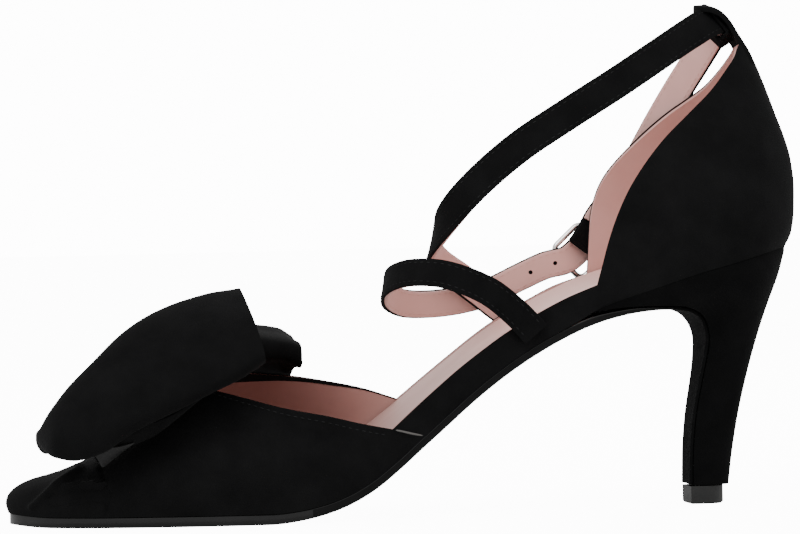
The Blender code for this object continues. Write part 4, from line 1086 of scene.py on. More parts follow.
# ---------------------------------------------------------- finer helpers
def refine(sections, per):
    """Extra sections between the given ones, on smooth curves."""
    arr = np.array([np.array(s, float) for s in sections])
    out = [smooth_path(arr[:, j], per) for j in range(arr.shape[1])]
    return [np.array([o[k] for o in out]) for k in range(len(out[0]))]


SHIFT = (np.asarray(build_lift()[0], float).min(0)
         - np.array(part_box("top_lift")[0]) / MM)


def to_row(points):
    return (np.asarray(points, float) - SHIFT) * MM


def piece(name, verts, faces, material, node=None, angle=40, marks=None):
    mesh = bpy.data.meshes.new(name)
    mesh.from_pydata([tuple(p) for p in to_row(verts)], [], [list(map(int, f)) for f in faces])
    mats = material if isinstance(material, list) else [material]
    for m in mats:
        mesh.materials.append(m)
    if marks is not None:
        for poly, m in zip(mesh.polygons, marks):
            poly.material_index = m
    bm = bmesh.new()
    bm.from_mesh(mesh)
    bmesh.ops.recalc_face_normals(bm, faces=bm.faces[:])
    bm.to_mesh(mesh)
    bm.free()
    mesh.shade_smooth()
    mesh.set_sharp_from_angle(angle=math.radians(angle))
    obj = bpy.data.objects.new(name, mesh)
    bpy.context.scene.collection.objects.link(obj)
    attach(obj, "root")
    if node:
        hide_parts(node)
    return obj


# -------------------------------------------------------------- materials
class Nodes:
    """A material's node tree with short calls."""

    def __init__(self, name):
        self.mat = bpy.data.materials.new(name)
        self.mat.use_nodes = True
        self.tree = self.mat.node_tree
        self.shader = self.tree.nodes["Principled BSDF"]
        self.coord = self.tree.nodes.new("ShaderNodeTexCoord").outputs["Object"]

    def noise(self, scale, detail=4.0, rough=0.5, stretch=None):
        vec = self.coord
        if stretch:
            m = self.tree.nodes.new("ShaderNodeMapping")
            m.inputs["Scale"].default_value = stretch
            self.tree.links.new(vec, m.inputs["Vector"])
            vec = m.outputs["Vector"]
        n = self.tree.nodes.new("ShaderNodeTexNoise")
        n.inputs["Scale"].default_value = scale
        n.inputs["Detail"].default_value = detail
        n.inputs["Roughness"].default_value = rough
        self.tree.links.new(vec, n.inputs["Vector"])
        return n.outputs["Fac"]

    def ramp(self, value, stops):
        r = self.tree.nodes.new("ShaderNodeValToRGB")
        el = r.color_ramp.elements
        el[0].position, el[0].color = stops[0][0], (*stops[0][1], 1)
        el[1].position, el[1].color = stops[-1][0], (*stops[-1][1], 1)
        for pos, col in stops[1:-1]:
            e = el.new(pos)
            e.color = (*col, 1)
        self.tree.links.new(value, r.inputs["Fac"])
        return r.outputs["Color"]

    def span(self, value, low, high):
        m = self.tree.nodes.new("ShaderNodeMapRange")
        m.inputs["To Min"].default_value = low
        m.inputs["To Max"].default_value = high
        self.tree.links.new(value, m.inputs["Value"])
        return m.outputs["Result"]

    def painted_toe_shade(self, colour, x_front, x_back, front):
        """Painted shade: the colour darkened towards the toe, where the closed front of the shoe lies in
        shade.
        """
        split = self.tree.nodes.new("ShaderNodeSeparateXYZ")
        self.tree.links.new(self.coord, split.inputs["Vector"])
        m = self.tree.nodes.new("ShaderNodeMapRange")
        m.interpolation_type = "SMOOTHSTEP"
        m.inputs["From Min"].default_value = x_front
        m.inputs["From Max"].default_value = x_back
        self.tree.links.new(split.outputs["X"], m.inputs["Value"])
        tone = self.ramp(m.outputs["Result"], [(0.0, front), (1.0, (1, 1, 1))])
        mix = self.tree.nodes.new("ShaderNodeMix")
        mix.data_type, mix.blend_type = "RGBA", "MULTIPLY"
        mix.inputs["Factor"].default_value = 1.0
        a, b = [q for q in mix.inputs if q.type == "RGBA"]
        self.tree.links.new(colour, a)
        self.tree.links.new(tone, b)
        return [q for q in mix.outputs if q.type == "RGBA"][0]

    def bump(self, heights):
        last = None
        for value, strength, distance in heights:
            b = self.tree.nodes.new("ShaderNodeBump")
            b.inputs["Strength"].default_value = strength
            b.inputs["Distance"].default_value = distance
            self.tree.links.new(value, b.inputs["Height"])
            if last is not None:
                self.tree.links.new(last, b.inputs["Normal"])
            last = b.outputs["Normal"]
        self.tree.links.new(last, self.shader.inputs["Normal"])

    def put(self, name, value):
        if hasattr(value, "is_linked"):
            self.tree.links.new(value, self.shader.inputs[name])
        else:
            self.shader.inputs[name].default_value = value


def suede(name, dark, light, sheen=0.05):
    """Napped black leather: soft mottling, brushed patches, fine nap."""
    n = Nodes(name)
    patch = n.noise(70, 5, 0.6)
    n.put("Base Color", n.ramp(patch, [(0.30, (dark, dark, dark * 1.03)),
                                       (0.72, (light, light, light * 1.02))]))
    n.put("Roughness", n.span(n.noise(240, 3), 0.82, 1.0))
    n.put("Specular IOR Level", 0.04)
    n.put("Sheen Weight", sheen)
    n.put("Sheen Roughness", 0.45)
    n.bump([(n.noise(2600, 2, 0.6), 0.35, 0.0002), (n.noise(420, 4, 0.6), 0.22, 0.0004)])
    return n.mat


def lining(name, low, high, rough=(0.42, 0.60), painted_shade=None):
    """Smooth lining leather: faint clouding, fine grain, soft handling marks, and optional painted shade that
    darkens it towards the toe.
    """
    n = Nodes(name)
    colour = n.ramp(n.noise(55, 5, 0.55), [(0.30, low), (0.70, high)])
    if painted_shade:
        colour = n.painted_toe_shade(colour, *painted_shade)
    n.put("Base Color", colour)
    n.put("Roughness", n.span(n.noise(180, 4), rough[0], rough[1]))
    n.put("Specular IOR Level", 0.32)
    n.bump([(n.noise(3200, 3, 0.55), 0.16, 0.00012), (n.noise(260, 3, 0.5), 0.12, 0.0003)])
    return n.mat


def polish(name, low, high, rough, spec=0.5, metal=0.0, coat=0.0, stretch=(1, 1, 1)):
    """Smooth hard surface with faint scuffs."""
    n = Nodes(name)
    n.put("Base Color", n.ramp(n.noise(90, 4), [(0.30, low), (0.70, high)]))
    n.put("Roughness", n.span(n.noise(700, 5, 0.6, stretch), rough[0], rough[1]))
    n.put("Specular IOR Level", spec)
    n.put("Metallic", metal)
    n.put("Coat Weight", coat)
    n.put("Coat Roughness", 0.15)
    n.bump([(n.noise(900, 3, 0.5, stretch), 0.10, 0.0001)])
    return n.mat


SUEDE = suede("suede_upper", 0.0044, 0.0082, 0.018)
SUEDE_HEEL = suede("suede_heel", 0.0028, 0.0052, 0.006)
SUEDE_STRAP = suede("suede_strap", 0.0044, 0.0076, 0.008)
SUEDE_BOW = suede("suede_bow", 0.0042, 0.0074, 0.014)
THREAD = suede("thread_black", 0.016, 0.026, 0.0)
# Near-black disks for the buckle holes of strap a: painted shade of the open holes.
HOLE_SHADE = suede("painted_hole_shade", 0.0030, 0.0050, 0.0)
# Lining and footbed darken towards the toe by painted shade, standing in for the shade inside the closed
# front.
PINK = lining("lining_pink", (0.62, 0.345, 0.305), (0.69, 0.40, 0.355),
              painted_shade=(-0.040, 0.030, (0.40, 0.30, 0.28)))
PINK_BED = lining("footbed_pink", (0.91, 0.585, 0.525), (0.98, 0.665, 0.605),
                  painted_shade=(-0.030, 0.050, (0.42, 0.36, 0.35)))
PINK_STRAP = lining("strap_pink", (0.72, 0.43, 0.385), (0.80, 0.49, 0.44))
# Light grey for the vamp's tail edge: a painted highlight where the edge catches the light.
PAINTED_GLINT = polish("painted_edge_glint", (0.09, 0.085, 0.08), (0.19, 0.175, 0.17), (0.5, 0.7), spec=0.2)
THREAD_PINK = lining("thread_pink", (0.66, 0.385, 0.34), (0.74, 0.44, 0.395))
SOLE = polish("sole_leather", (0.003, 0.003, 0.003), (0.006, 0.006, 0.006), (0.16, 0.34), spec=0.28, coat=0.10)
SOLE_SIDE = polish("sole_side", (0.003, 0.003, 0.003), (0.006, 0.006, 0.006), (0.34, 0.50), spec=0.10)
BREAST = suede("breast_leather", 0.0030, 0.0060, 0.0)
FOLD = polish("fold_leather", (0.006, 0.006, 0.006), (0.016, 0.016, 0.016), (0.42, 0.70), spec=0.25)
RUBBER = polish("lift_rubber", (0.016, 0.016, 0.016), (0.026, 0.026, 0.025), (0.45, 0.65), spec=0.25)
METAL = polish("buckle_metal", (0.86, 0.85, 0.82), (0.93, 0.92, 0.90), (0.10, 0.24), metal=1.0)


# -------------------------------------------------------- creases, panels
# Soft lines on the medial side, in the plane along the foot: x and z of
# each line, with its height (plus is a ridge, minus a trough) and width.
PLEAT = [(6.5, 6.0), (10.3, 9.3), (13.5, 12.1), (16.8, 14.0), (20.6, 16.1)]
LEDGE = [(15.5, 11.4), (20.0, 12.2), (26.3, 12.7)]
PLEAT_UNDER = [(12.5, 8.0), (17.0, 9.2), (26.0, 9.4)]
TOE_SEAM = [(25.7, 17.0), (26.3, 12.7), (26.4, 4.9)]
CREASES = [(PLEAT, 1.30, 0.70), (LEDGE, 1.30, 0.60), (PLEAT_UNDER, -2.2, 1.6),
           (TOE_SEAM, -0.90, 0.40)]


def line_distance(x, z, line):
    best = 1e9
    for (x0, z0), (x1, z1) in zip(line[:-1], line[1:]):
        dx, dz = x1 - x0, z1 - z0
        u = min(max(((x - x0) * dx + (z - z0) * dz) / (dx * dx + dz * dz), 0), 1)
        best = min(best, math.hypot(x - x0 - u * dx, z - z0 - u * dz))
    return best


def relief(p, side, zone, t, v):
    """Height of panels, seams and creases over the plain surface."""
    h = 0.0
    if side == "med" and zone in ("toe", "vamp") and p[0] < 45:
        for line, height, width in CREASES:
            d = line_distance(p[0], p[2], line)
            if d < width * 3:
                h += height * math.exp(-(d / width) ** 2)
    if zone == "vamp":
        h += 0.30 * min(1.0, max(0.0, (t - 0.55) * 4))
    fade = 1.0
    if zone == "counter":
        fade = min(max((0.92 - t) / 0.25, 0.0), 1.0)
        h += 0.30 * (1 - math.exp(-t * 60)) * fade
        h += 0.10 * math.sin(p[0] * 0.21 + p[2] * 0.13) * math.sin(p[2] * 0.17) * fade
    h += 0.08 * math.sin(p[0] * 0.31) * math.sin(p[1] * 0.23 + p[2] * 0.19) * fade
    return h


FINE_STEPS = {"toe": 90, "vamp": 60, "waist": 40, "counter": 90}
FINE_ROWS = 34


def upper_surface():
    """Outer surface of the upper as one welded grid, with normals."""
    order = ("toe", "vamp", "waist", "counter")
    cols, info = {}, {}
    for side in ("med", "lat"):
        c, f = [], []
        for zone in order:
            n = FINE_STEPS[zone]
            last = zone == "counter"
            for k in range(n + (1 if last else 0)):
                t = k / n
                c.append(wall_column(side, zone, t, FINE_ROWS))
                f.append((zone, t))
        cols[side], info[side] = np.array(c), f
    last = len(cols["med"]) - 1
    closed = FINE_STEPS["toe"]
    index, verts, tags = {}, [], []
    for side in ("med", "lat"):
        for i in range(last + 1):
            for j in range(FINE_ROWS + 1):
                shared = i == 0 or i == last or (j == FINE_ROWS and i <= closed)
                k = ("mid" if shared else side, i, j)
                if k not in index:
                    index[k] = len(verts)
                    verts.append(cols[side][i][j])
                    tags.append((side, *info[side][i], j / FINE_ROWS))

    def at(side, i, j):
        shared = i == 0 or i == last or (j == FINE_ROWS and i <= closed)
        return index[("mid" if shared else side, i, j)]

    faces = []
    for side in ("med", "lat"):
        for i in range(last):
            for j in range(FINE_ROWS):
                q = [at(side, *c) for c in ((i, j), (i + 1, j), (i + 1, j + 1), (i, j + 1))]
                q = [v for n, v in enumerate(q) if v != q[n - 1]]
                faces.append(q if side == "med" else q[::-1])
    outer = np.array(verts)
    normal = np.zeros_like(outer)
    for f in faces:
        p = outer[f]
        c = sum(np.cross(p[n], p[(n + 1) % len(f)]) for n in range(len(f)))
        for v in f:
            normal[v] += c
    normal /= np.linalg.norm(normal, axis=1)[:, None]
    for _ in range(2):
        total, count = normal.copy(), np.ones(len(normal))
        for f in faces:
            for n in range(len(f)):
                total[f[n]] += normal[f[n - 1]]
                count[f[n]] += 1
        normal = total / np.linalg.norm(total, axis=1)[:, None]
    rim = {s: [at(s, i, FINE_ROWS) for i in range(closed, last + 1)] for s in ("med", "lat")}
    foot = {s: [at(s, i, 0) for i in range(last + 1)] for s in ("med", "lat")}
    below = {}
    for s in ("med", "lat"):
        for i in range(closed, last + 1):
            below[at(s, i, FINE_ROWS)] = at(s, i, FINE_ROWS - 1)
    return outer, normal, faces, rim, foot, below, tags


def shell(name, grid, near, far, trim, bumps, material, node=None):
    """Closed layer of the upper between two depths under its surface."""
    base, normal, faces, rim, foot, below, tags = grid
    top = base.copy()
    for v, w in below.items():
        d = base[w] - base[v]
        top[v] = base[v] + d / np.linalg.norm(d) * trim
    out = np.empty_like(top)
    for k in range(len(top)):
        lift = relief(top[k], *tags[k]) if bumps else 0.0
        out[k] = top[k] - normal[k] * (near - lift)
    inn = top - normal * far
    for s in ("med", "lat"):
        for v in foot[s]:
            flat = normal[v][:2] / np.linalg.norm(normal[v][:2])
            for arr, depth in ((out, near), (inn, far)):
                drop = 0.0
                if bumps:
                    drop = lerp(0.34, 0.04, min(max((base[v][0] - 160) / 8, 0.0), 1.0))
                arr[v] = (*(base[v][:2] - flat * depth), base[v][2] - drop)
    n = len(base)
    solid = [list(f) for f in faces] + [[v + n for v in f[::-1]] for f in faces]
    for s in ("med", "lat"):
        for line, flip in ((foot[s], s == "lat"), (rim[s], s == "med")):
            for a, b in zip(line[:-1], line[1:]):
                q = [a, a + n, b + n, b]
                solid.append(q[::-1] if flip else q)
    return piece(name, np.concatenate([out, inn]), solid, material, node, 50)


GRID = upper_surface()
shell("upper_suede", GRID, 0.0, 0.60, 0.0, True, SUEDE, "upper")
shell("upper_lining", GRID, 0.63, WALL, 0.12, False, PINK, None)


# Suede turned over the top of the far vamp wall, deepest under the bow.
TURN = Table("x depth", [(52.0, 5.0), (60.0, 4.6), (67.0, 3.5), (77.0, 2.2), (88.0, 1.3),
                         (99.0, 0.9), (110.0, 0.5), (120.0, 0.25)])


def turned_edge():
    sections = []
    for t in np.linspace(0.02, 1.0, 90):
        col = np.array(wall_column("lat", "vamp", t, 60))[::-1]
        s = arc_length(col)
        depth = TURN.at("depth", col[0][0])
        ring = []
        for off in (-0.10, 0.16):
            line = []
            for want in np.linspace(0, depth, 6):
                p = np.array([np.interp(want, s, col[:, k]) for k in range(3)])
                q = np.array([np.interp(want + 0.3, s, col[:, k]) for k in range(3)])
                d = (q - p) / np.linalg.norm(q - p)
                along = np.array(wall_column("lat", "vamp", min(t + 0.01, 1.0), 60)[-1]) \
                    - np.array(wall_column("lat", "vamp", t - 0.01, 60)[-1])
                inward = np.cross(d, along)
                inward /= np.linalg.norm(inward)
                if inward[1] > 0:
                    inward = -inward
                line.append(p + inward * (WALL + off) - d * 0.05)
            ring += line if off < 0 else line[::-1]
        sections.append(ring)
    v, f = loft(sections)
    return piece("vamp_turned_edge", v, f, SUEDE, None, 50)


turned_edge()


def tail_edge():
    """Edge of the vamp's tail where it laps over the waist, drawn light grey as a painted highlight of the lit
    edge.
    """
    line = smooth_path([(108.6, -32.1, 25.3), (110.4, -31.75, 24.9), (113.5, -30.65, 24.1),
                        (116.8, -29.35, 23.4)], 8)
    sections = []
    for k, p in enumerate(line):
        r = 0.30 * math.sqrt(max(1 - (2 * k / (len(line) - 1) - 1) ** 4, 0.02))
        sections.append([p + np.array([0, r * math.cos(a), r * math.sin(a)])
                         for a in np.linspace(0, 2 * math.pi, 13)[:-1]])
    v, f = loft(sections)
    return piece("vamp_tail_edge", v, f, PAINTED_GLINT, None, 60)


tail_edge()


# --------------------------------------------------------------- stitches
def beads(name, spots, material, length=1.15, radius=0.13):
    """Row of short thread stitches: (point, direction, outward) each."""
    verts, faces = [], []
    for p, d, n in spots:
        w = np.cross(d, n)
        start = len(verts)
        for along, r in ((-0.5, 0.0), (-0.38, 0.75), (0.0, 1.0), (0.38, 0.75), (0.5, 0.0)):
            for k in range(6):
                a = math.pi * k / 3
                verts.append(p + d * along * length
                             + (w * math.cos(a) + n * (math.sin(a) * 0.8)) * radius * r)
        for ring in range(4):
            for k in range(6):
                a, b = start + ring * 6 + k, start + ring * 6 + (k + 1) % 6
                faces.append([a, b, b + 6, a + 6])
    return piece(name, np.array(verts), faces, material, None, 60)


def along_line(points, normals, spacing, start=1.0):
    s = arc_length(points)
    out = []
    for want in np.arange(start, s[-1] - 1.0, spacing):
        p = np.array([np.interp(want, s, points[:, k]) for k in range(3)])
        q = np.array([np.interp(want + 0.2, s, points[:, k]) for k in range(3)])
        n = np.array([np.interp(want, s, normals[:, k]) for k in range(3)])
        d = (q - p) / np.linalg.norm(q - p)
        n = n - d * np.dot(n, d)
        out.append((p, d, n / np.linalg.norm(n)))
    return out


def wall_run(side, zone, t0, t1, inset, count=120):
    """Line on the upper a fixed distance below its top edge."""
    pts = []
    for t in np.linspace(t0, t1, count):
        col = np.array(wall_column(side, zone, t, 40))
        s = arc_length(col)
        want = s[-1] - inset
        pts.append([np.interp(want, s, col[:, k]) for k in range(3)])
    pts = np.array(pts)
    base, normal = GRID[0], GRID[1]
    nor = np.array([normal[int(np.argmin(((base - p) ** 2).sum(1)))] for p in pts])
    return pts, nor


SPOTS = []
for side_, t1_ in (("med", 0.97), ("lat", 0.97)):
    pts_, nor_ = wall_run(side_, "vamp", 0.10, t1_, 2.0)
    SPOTS += along_line(pts_ + nor_ * 0.35, nor_, 2.0)
beads("vamp_stitches", SPOTS, THREAD)


# ----------------------------------------------------------------- straps
def strap_section(width, outer, inner, bevel):
    """Rounded section of a flat layer between two heights."""
    a, mid = width / 2, (outer + inner) / 2
    pts = []
    for x in np.linspace(-a + bevel, a - bevel, 9):
        pts.append((x, outer - 0.05 * abs(x / a) ** 4))
    pts += [(a - bevel * 0.3, outer - bevel * 0.3), (a, mid)]
    pts += [(a - bevel * 0.3, inner + bevel * 0.3)]
    for x in np.linspace(a - bevel, -a + bevel, 9):
        pts.append((x, inner))
    pts += [(-a + bevel * 0.3, inner + bevel * 0.3), (-a, mid),
            (-a + bevel * 0.3, outer - bevel * 0.3)]
    return pts


def layer(path, t, n, section, taper):
    sections = []
    total = arc_length(path)
    for k in range(len(path)):
        w = np.cross(t[k], n[k])
        left = total[-1] - total[k]
        grow = 1.0
        if taper:
            grow = min(1.0, math.sqrt(max(1 - (1 - min(left / 4.2, 1.0)) ** 2, 0.02)))
        sections.append([path[k] + w * x * grow + n[k] * y for x, y in section])
    return loft(sections)


def fine_strap(name):
    path, t, n = strap_path(name)
    s = arc_length(path)
    dense = smooth_path(np.concatenate([path, n], 1), 5)
    p, m = dense[:, :3], dense[:, 3:]
    tt = tangents(p)
    m = m - tt * (m * tt).sum(1)[:, None]
    return p, tt, m / np.linalg.norm(m, axis=1)[:, None]


for strap_, width_ in (("a", STRAP_A_WIDTH), ("b", STRAP_B_WIDTH)):
    p_, t_, n_ = fine_strap(strap_)
    tip_ = strap_ == "a"
    first_ = int(np.searchsorted(arc_length(p_), 0.8 if tip_ else 3.4))
    p_, t_, n_ = p_[first_:], t_[first_:], n_[first_:]
    v_, f_ = layer(p_, t_, n_, strap_section(width_, 1.0, -0.05, 0.35), tip_)
    piece("strap_" + strap_ + "_suede", v_, f_, SUEDE_STRAP, "strap_" + strap_)
    long_ = arc_length(p_)
    end_ = len(p_) if tip_ else int(np.searchsorted(long_, long_[-1] - 8.5))
    inner_ = strap_section(width_ - 0.7, -0.08, -1.0, 0.25)
    v_, f_ = layer(p_[:end_], t_[:end_], n_[:end_], inner_, tip_)
    piece("strap_" + strap_ + "_lining", v_, f_, PINK_STRAP, None)
    if not tip_:
        v_, f_ = layer(p_[end_:], t_[end_:], n_[end_:], inner_, False)
        piece("strap_b_turned_end", v_, f_, SUEDE_STRAP, None)
    w_ = np.cross(t_, n_)
    for face_, thread_, called_ in ((1.03, THREAD, "outer"), (-1.03, THREAD_PINK, "inner")):
        cut_ = slice(4, (len(p_) - 14) if face_ > 0 else min(end_ - 4, len(p_) - 14))
        spots_ = []
        for edge_ in (-1, 1):
            line_ = (p_ + w_ * edge_ * (width_ / 2 - 1.3) + n_ * face_)[cut_]
            spots_ += along_line(line_, n_[cut_] * (1 if face_ > 0 else -1), 2.1)
        beads("strap_" + strap_ + "_stitches_" + called_, spots_, thread_)
    if strap_ == "a":
        # Buckle holes: dark disks laid on both faces of the strap, painted shade in place of holes cut
        # through.
        v_, f_ = [], []
        total_ = arc_length(p_)
        reach_ = total_[int(np.argmin(np.linalg.norm(p_ - np.array(BUCKLE_AT), axis=1)))]
        for away_ in (8.0, 15.8, -9.5, -17.5):
            k_ = int(np.argmin(np.abs(total_ - (reach_ - away_))))
            for face_ in (1.0, -1.0):
                start_ = len(v_)
                for depth_, r_ in ((0.03, 0.62), (0.06, 0.5)):
                    for j_ in range(16):
                        a_ = math.pi * j_ / 8
                        v_.append(p_[k_] + w_[k_] * r_ * math.cos(a_) + t_[k_] * r_ * math.sin(a_)
                                  + n_[k_] * face_ * (1.0 + depth_))
                for j_ in range(16):
                    f_.append([start_ + j_, start_ + (j_ + 1) % 16,
                               start_ + 16 + (j_ + 1) % 16, start_ + 16 + j_])
                f_.append([start_ + 16 + j_ for j_ in range(16)])
                f_.append([start_ + j_ for j_ in range(15, -1, -1)])
        piece("strap_a_holes", np.array(v_), f_, HOLE_SHADE)


# -------------------------------------------------------------------- bow
def bow_shell(name, table, side, node):
    """Ribbon loop as a thin folded band, open at its rear edge."""
    around, along = 10, 72
    outer = []
    for row in np.linspace(0, 8, along):
        ring = np.array(bow_section(table, row, side))
        dense = smooth_path(ring, around, closed=True)
        centre = ring.mean(0)
        shrink = 1.0
        if row < 1.2:
            shrink = max(math.sqrt(1 - (1 - row / 1.2) ** 2), 0.03)
        dense = centre + (dense - centre) * shrink
        outer.append(dense)
    outer = np.array(outer)
    n = outer.shape[1]
    du = np.gradient(outer, axis=0)
    dv = np.roll(outer, -1, 1) - np.roll(outer, 1, 1)
    nor = np.cross(du, dv)
    nor /= np.maximum(np.linalg.norm(nor, axis=2), 1e-9)[:, :, None]
    mid = outer.mean(1, keepdims=True)
    if ((outer - mid) * nor).sum() < 0:
        nor = -nor
    for i in range(along):
        row = 8 * i / (along - 1)
        for j in range(n):
            s = j / n
            from_root = min(s, 1 - s)
            fold = 0.75 * math.exp(-(from_root / 0.16) ** 2) * math.cos(row * 2.3)
            fold += 0.35 * math.sin(row * 1.35 + 4.0 * s) * math.exp(-((s - 0.33) / 0.2) ** 2)
            end = math.sin(math.pi * min(max(row / 8, 0.0), 1.0)) ** 0.5 if row < 8 else 0.0
            outer[i, j] += nor[i, j] * (fold - 0.3) * end
    thick = np.linspace(0.9, 1.1, along)[:, None, None]
    inner = outer - nor * thick
    flat_o, flat_i = outer.reshape(-1, 3), inner.reshape(-1, 3)
    verts = np.concatenate([flat_o, flat_i])
    m = along * n
    faces = []
    for i in range(along - 1):
        for j in range(n):
            a, b = i * n + j, i * n + (j + 1) % n
            faces.append([a, b, b + n, a + n])
            faces.append([m + a, m + a + n, m + b + n, m + b])
    for j in range(n):
        a, b = (along - 1) * n + j, (along - 1) * n + (j + 1) % n
        faces.append([a, b, m + b, m + a])
    faces.append([j for j in range(n)][::-1])
    faces.append([m + j for j in range(n)])
    return piece(name, verts, faces, SUEDE_BOW, node, 50)


bow_shell("bow_loop_near", BOW_NEAR, "med", "bow_loop_medial")
bow_shell("bow_loop_far", BOW_FAR, "lat", "bow_loop_lateral")


def panel(name, top, low, bulge, thick, material):
    """Closed sheet between two edge lines, rounded outwards between them."""
    a = resample(smooth_path(top, 10), 48)
    b = resample(smooth_path(low, 10), 48)
    rows = []
    for v in np.linspace(0, 1, 14):
        r = lerp(a, b, v)
        r[:, 1] -= bulge * math.sin(math.pi * v)
        rows.append(r)
    outer = np.array(rows)
    du, dv = np.gradient(outer, axis=1), np.gradient(outer, axis=0)
    nor = np.cross(du, dv)
    nor /= np.linalg.norm(nor, axis=2)[:, :, None]
    if nor[:, :, 1].mean() > 0:
        nor = -nor
    inner = outer - nor * thick
    h, w = outer.shape[:2]
    m = h * w
    faces = []
    for i in range(h - 1):
        for j in range(w - 1):
            q = [i * w + j, i * w + j + 1, (i + 1) * w + j + 1, (i + 1) * w + j]
            faces += [q, [m + x for x in q[::-1]]]
    ring = ([j for j in range(w)] + [i * w + w - 1 for i in range(1, h)]
            + [(h - 1) * w + j for j in range(w - 2, -1, -1)]
            + [i * w for i in range(h - 2, 0, -1)])
    for x, y in zip(ring, ring[1:] + ring[:1]):
        faces.append([x, y, m + y, m + x])
    return piece(name, np.concatenate([outer.reshape(-1, 3), inner.reshape(-1, 3)]),
                 faces, material, None, 50)


panel("bow_under_layer",
      [(20.7, -40.0, 26.8), (32.5, -39.0, 28.0), (43.6, -36.4, 31.0), (56.8, -31.0, 38.2)],
      [(23.4, -37.0, 19.1), (27.0, -35.0, 19.0), (32.8, -36.0, 23.0), (40.1, -34.0, 25.8),
       (53.5, -30.0, 35.3)], 0.8, 0.9, SUEDE_BOW)


panel("bow_fold_end",
      [(19.8, -41.0, 24.2), (24.0, -40.6, 23.2), (29.0, -39.6, 23.2), (34.0, -37.6, 24.2)],
      [(23.6, -38.0, 19.8), (25.0, -36.4, 17.6), (27.2, -36.4, 19.0), (31.0, -37.0, 22.0)],
      0.6, 0.8, FOLD)


def knot_shell():
    sections = []
    for row in np.linspace(0, 5, 48):
        x, lo, hi, half = (KNOT.at(q, row) for q in ("x", "z_low", "z_high", "half"))
        mid, c, ring = (lo + hi) / 2, -2.0, []
        for k in range(72):
            a = 2 * math.pi * k / 72
            sy = math.copysign(abs(math.cos(a)) ** 0.6, math.cos(a))
            sz = math.copysign(abs(math.sin(a)) ** 0.7, math.sin(a))
            pleat = 1 - 0.035 * (0.5 + 0.5 * math.cos(half * sy * 1.9 + row * 0.4))
            ring.append((x, c + half * sy * pleat, mid + (hi - lo) / 2 * sz * pleat))
        sections.append(ring)
    return loft(sections)


v_, f_ = knot_shell()
piece("bow_knot_band", v_, f_, SUEDE_BOW, "bow_knot", 60)

# ------------------------------------------------------- sole, bed, heel
v_, f_ = build_insole()
piece("footbed", v_, f_, PINK_BED, "insole", 50)
v_, f_ = build_outsole()
rise_ = np.array([np.mean([v_[k][0] for k in f]) for f in f_])
piece("sole", v_, f_, [SOLE, SOLE_SIDE, BREAST], "outsole", 35,
      marks=[2 if x > BREAST_X + 4.0 else
             (0 if k % 34 not in (16, 33) or x < 84.0 else 1)
             for k, x in enumerate(rise_)])
v_, f_ = build_heel()
piece("heel_cover", v_, f_, SUEDE_HEEL, "heel", 40)
v_, f_ = build_lift()
piece("lift", v_, f_, RUBBER, "top_lift", 35)
v_, f_ = build_heel_loop()
piece("heel_tunnel", v_, f_, SUEDE_STRAP, "heel_loop", 35)
# Suede bridge from the back tab over the tunnel.
BRIDGE = [(220.2, 0.0, 127.6), (219.3, 0.0, 130.2), (217.2, 0.0, 133.9), (215.3, 0.0, 137.1),
          (213.5, 0.0, 140.1), (210.9, -0.3, 142.6), (207.3, -0.8, 143.9),
          (203.9, -1.4, 143.9)]
p_ = smooth_path(BRIDGE, 12)
t_ = tangents(p_)
n_ = np.stack([t_[:, 2], np.zeros(len(t_)), -t_[:, 0]], 1)
n_ /= np.linalg.norm(n_, axis=1)[:, None]
sections_ = []
for k_ in range(len(p_)):
    u_ = k_ / (len(p_) - 1)
    wide_ = lerp(14.0, 10.4, min(u_ * 1.6, 1.0)) * math.sqrt(max(1 - max(u_ - 0.86, 0) ** 2 / 0.0225, 0.05))
    sections_.append([p_[k_] + np.array([0.0, x, 0.0]) + n_[k_] * (y - 0.10 * (x / wide_ * 2) ** 2 * 8)
                      for x, y in strap_section(wide_, 0.8, -0.8, 0.5)])
v_, f_ = loft(sections_)
piece("tab_bridge", v_, f_, SUEDE_STRAP, None, 50)
v_, f_ = build_keeper()
piece("keeper_band", v_, f_, SUEDE_STRAP, "keeper", 35)
v_, f_ = build_buckle()
piece("buckle_wire", v_, f_, METAL, "buckle_frame", 60)
v_, f_ = build_prong()
piece("buckle_pin", v_, f_, METAL, "buckle_prong", 60)

# ------------------------------------------------------------------ stage
def card(name, corners, colour, glow):
    """Plain pale studio surface, with a soft glow of its own."""
    mesh = bpy.data.meshes.new(name)
    mesh.from_pydata(corners, [], [(0, 1, 2, 3)])
    obj = bpy.data.objects.new(name, mesh)
    bpy.context.scene.collection.objects.link(obj)
    mat = bpy.data.materials.new(name + "_pale")
    mat.use_nodes = True
    shader = mat.node_tree.nodes["Principled BSDF"]
    shader.inputs["Base Color"].default_value = (*colour, 1)
    shader.inputs["Roughness"].default_value = 0.9
    shader.inputs["Specular IOR Level"].default_value = 0.1
    shader.inputs["Emission Color"].default_value = (1, 1, 1, 1)
    shader.inputs["Emission Strength"].default_value = glow
    mesh.materials.append(mat)
    return obj


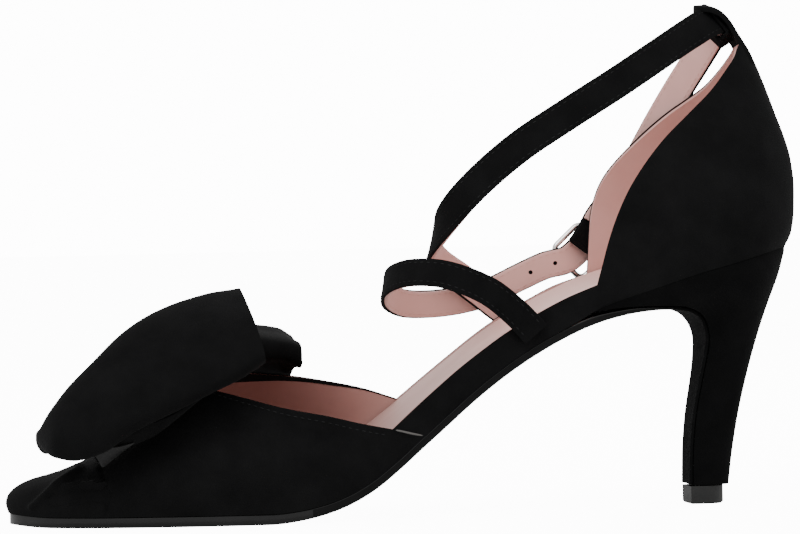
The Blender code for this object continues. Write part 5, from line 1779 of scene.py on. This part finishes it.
floor = card("floor", [(-6, -6, 0), (6, -6, 0), (6, 6, 0), (-6, 6, 0)], (0.93, 0.93, 0.93), 12.0)
bounce = card("floor_bounce", [(-6, -6, -2e-4), (6, -6, -2e-4), (6, 6, -2e-4), (-6, 6, -2e-4)],
              (0.80, 0.80, 0.80), 0.0)
wall = card("backdrop", [(-6, 5.9, -1), (6, 5.9, -1), (6, 5.9, 5), (-6, 5.9, 5)],
            (0.93, 0.93, 0.93), 13.0)
for bright in (floor, wall):
    bright.visible_diffuse = bright.visible_glossy = bright.visible_shadow = False
bounce.visible_camera = False

world = bpy.data.worlds.new("soft_studio")
world.use_nodes = True
world.node_tree.nodes["Background"].inputs["Color"].default_value = (1, 1, 1, 1)
world.node_tree.nodes["Background"].inputs["Strength"].default_value = 1.05
bpy.context.scene.world = world


def lamp(name, place, aim, size, power):
    data = bpy.data.lights.new(name, "AREA")
    data.shape = "RECTANGLE"
    data.size, data.size_y, data.energy = size[0], size[1], power
    obj = bpy.data.objects.new(name, data)
    bpy.context.scene.collection.objects.link(obj)
    obj.location = place
    direction = Vector(aim) - Vector(place)
    obj.rotation_euler = direction.to_track_quat("-Z", "Y").to_euler()
    return obj


lamp("key", (-0.55, -0.75, 0.95), (0, 0, 0.06), (0.7, 0.7), 6.0)
lamp("back", (0.45, 0.80, 0.80), (0, 0, 0.06), (0.8, 0.6), 4.0)

# ----------------------------------------------------------------- camera
SIDE, RISE, ROLL = (math.radians(q) for q in (-8.965, 0.938, -1.269))
back_ = np.array([math.sin(SIDE) * math.cos(RISE), -math.cos(SIDE) * math.cos(RISE),
                  math.sin(RISE)])
right_ = np.array([math.cos(SIDE), math.sin(SIDE), 0.0])
up_ = np.cross(back_, right_)
right2_ = right_ * math.cos(ROLL) + up_ * math.sin(ROLL)
up2_ = -right_ * math.sin(ROLL) + up_ * math.cos(ROLL)
place_ = to_row(np.array([115.92, 0.0, 70.77]) + back_ * 1500.0)
cam_data = bpy.data.cameras.new("camera")
cam_data.sensor_width = 36.0
cam_data.lens = 36.0 * 3.468 * 1500.0 / 800.0
camera = bpy.data.objects.new("camera", cam_data)
bpy.context.scene.collection.objects.link(camera)
camera.matrix_world = Matrix(((right2_[0], up2_[0], back_[0], place_[0]),
                              (right2_[1], up2_[1], back_[1], place_[1]),
                              (right2_[2], up2_[2], back_[2], place_[2]),
                              (0, 0, 0, 1)))
bpy.context.scene.camera = camera
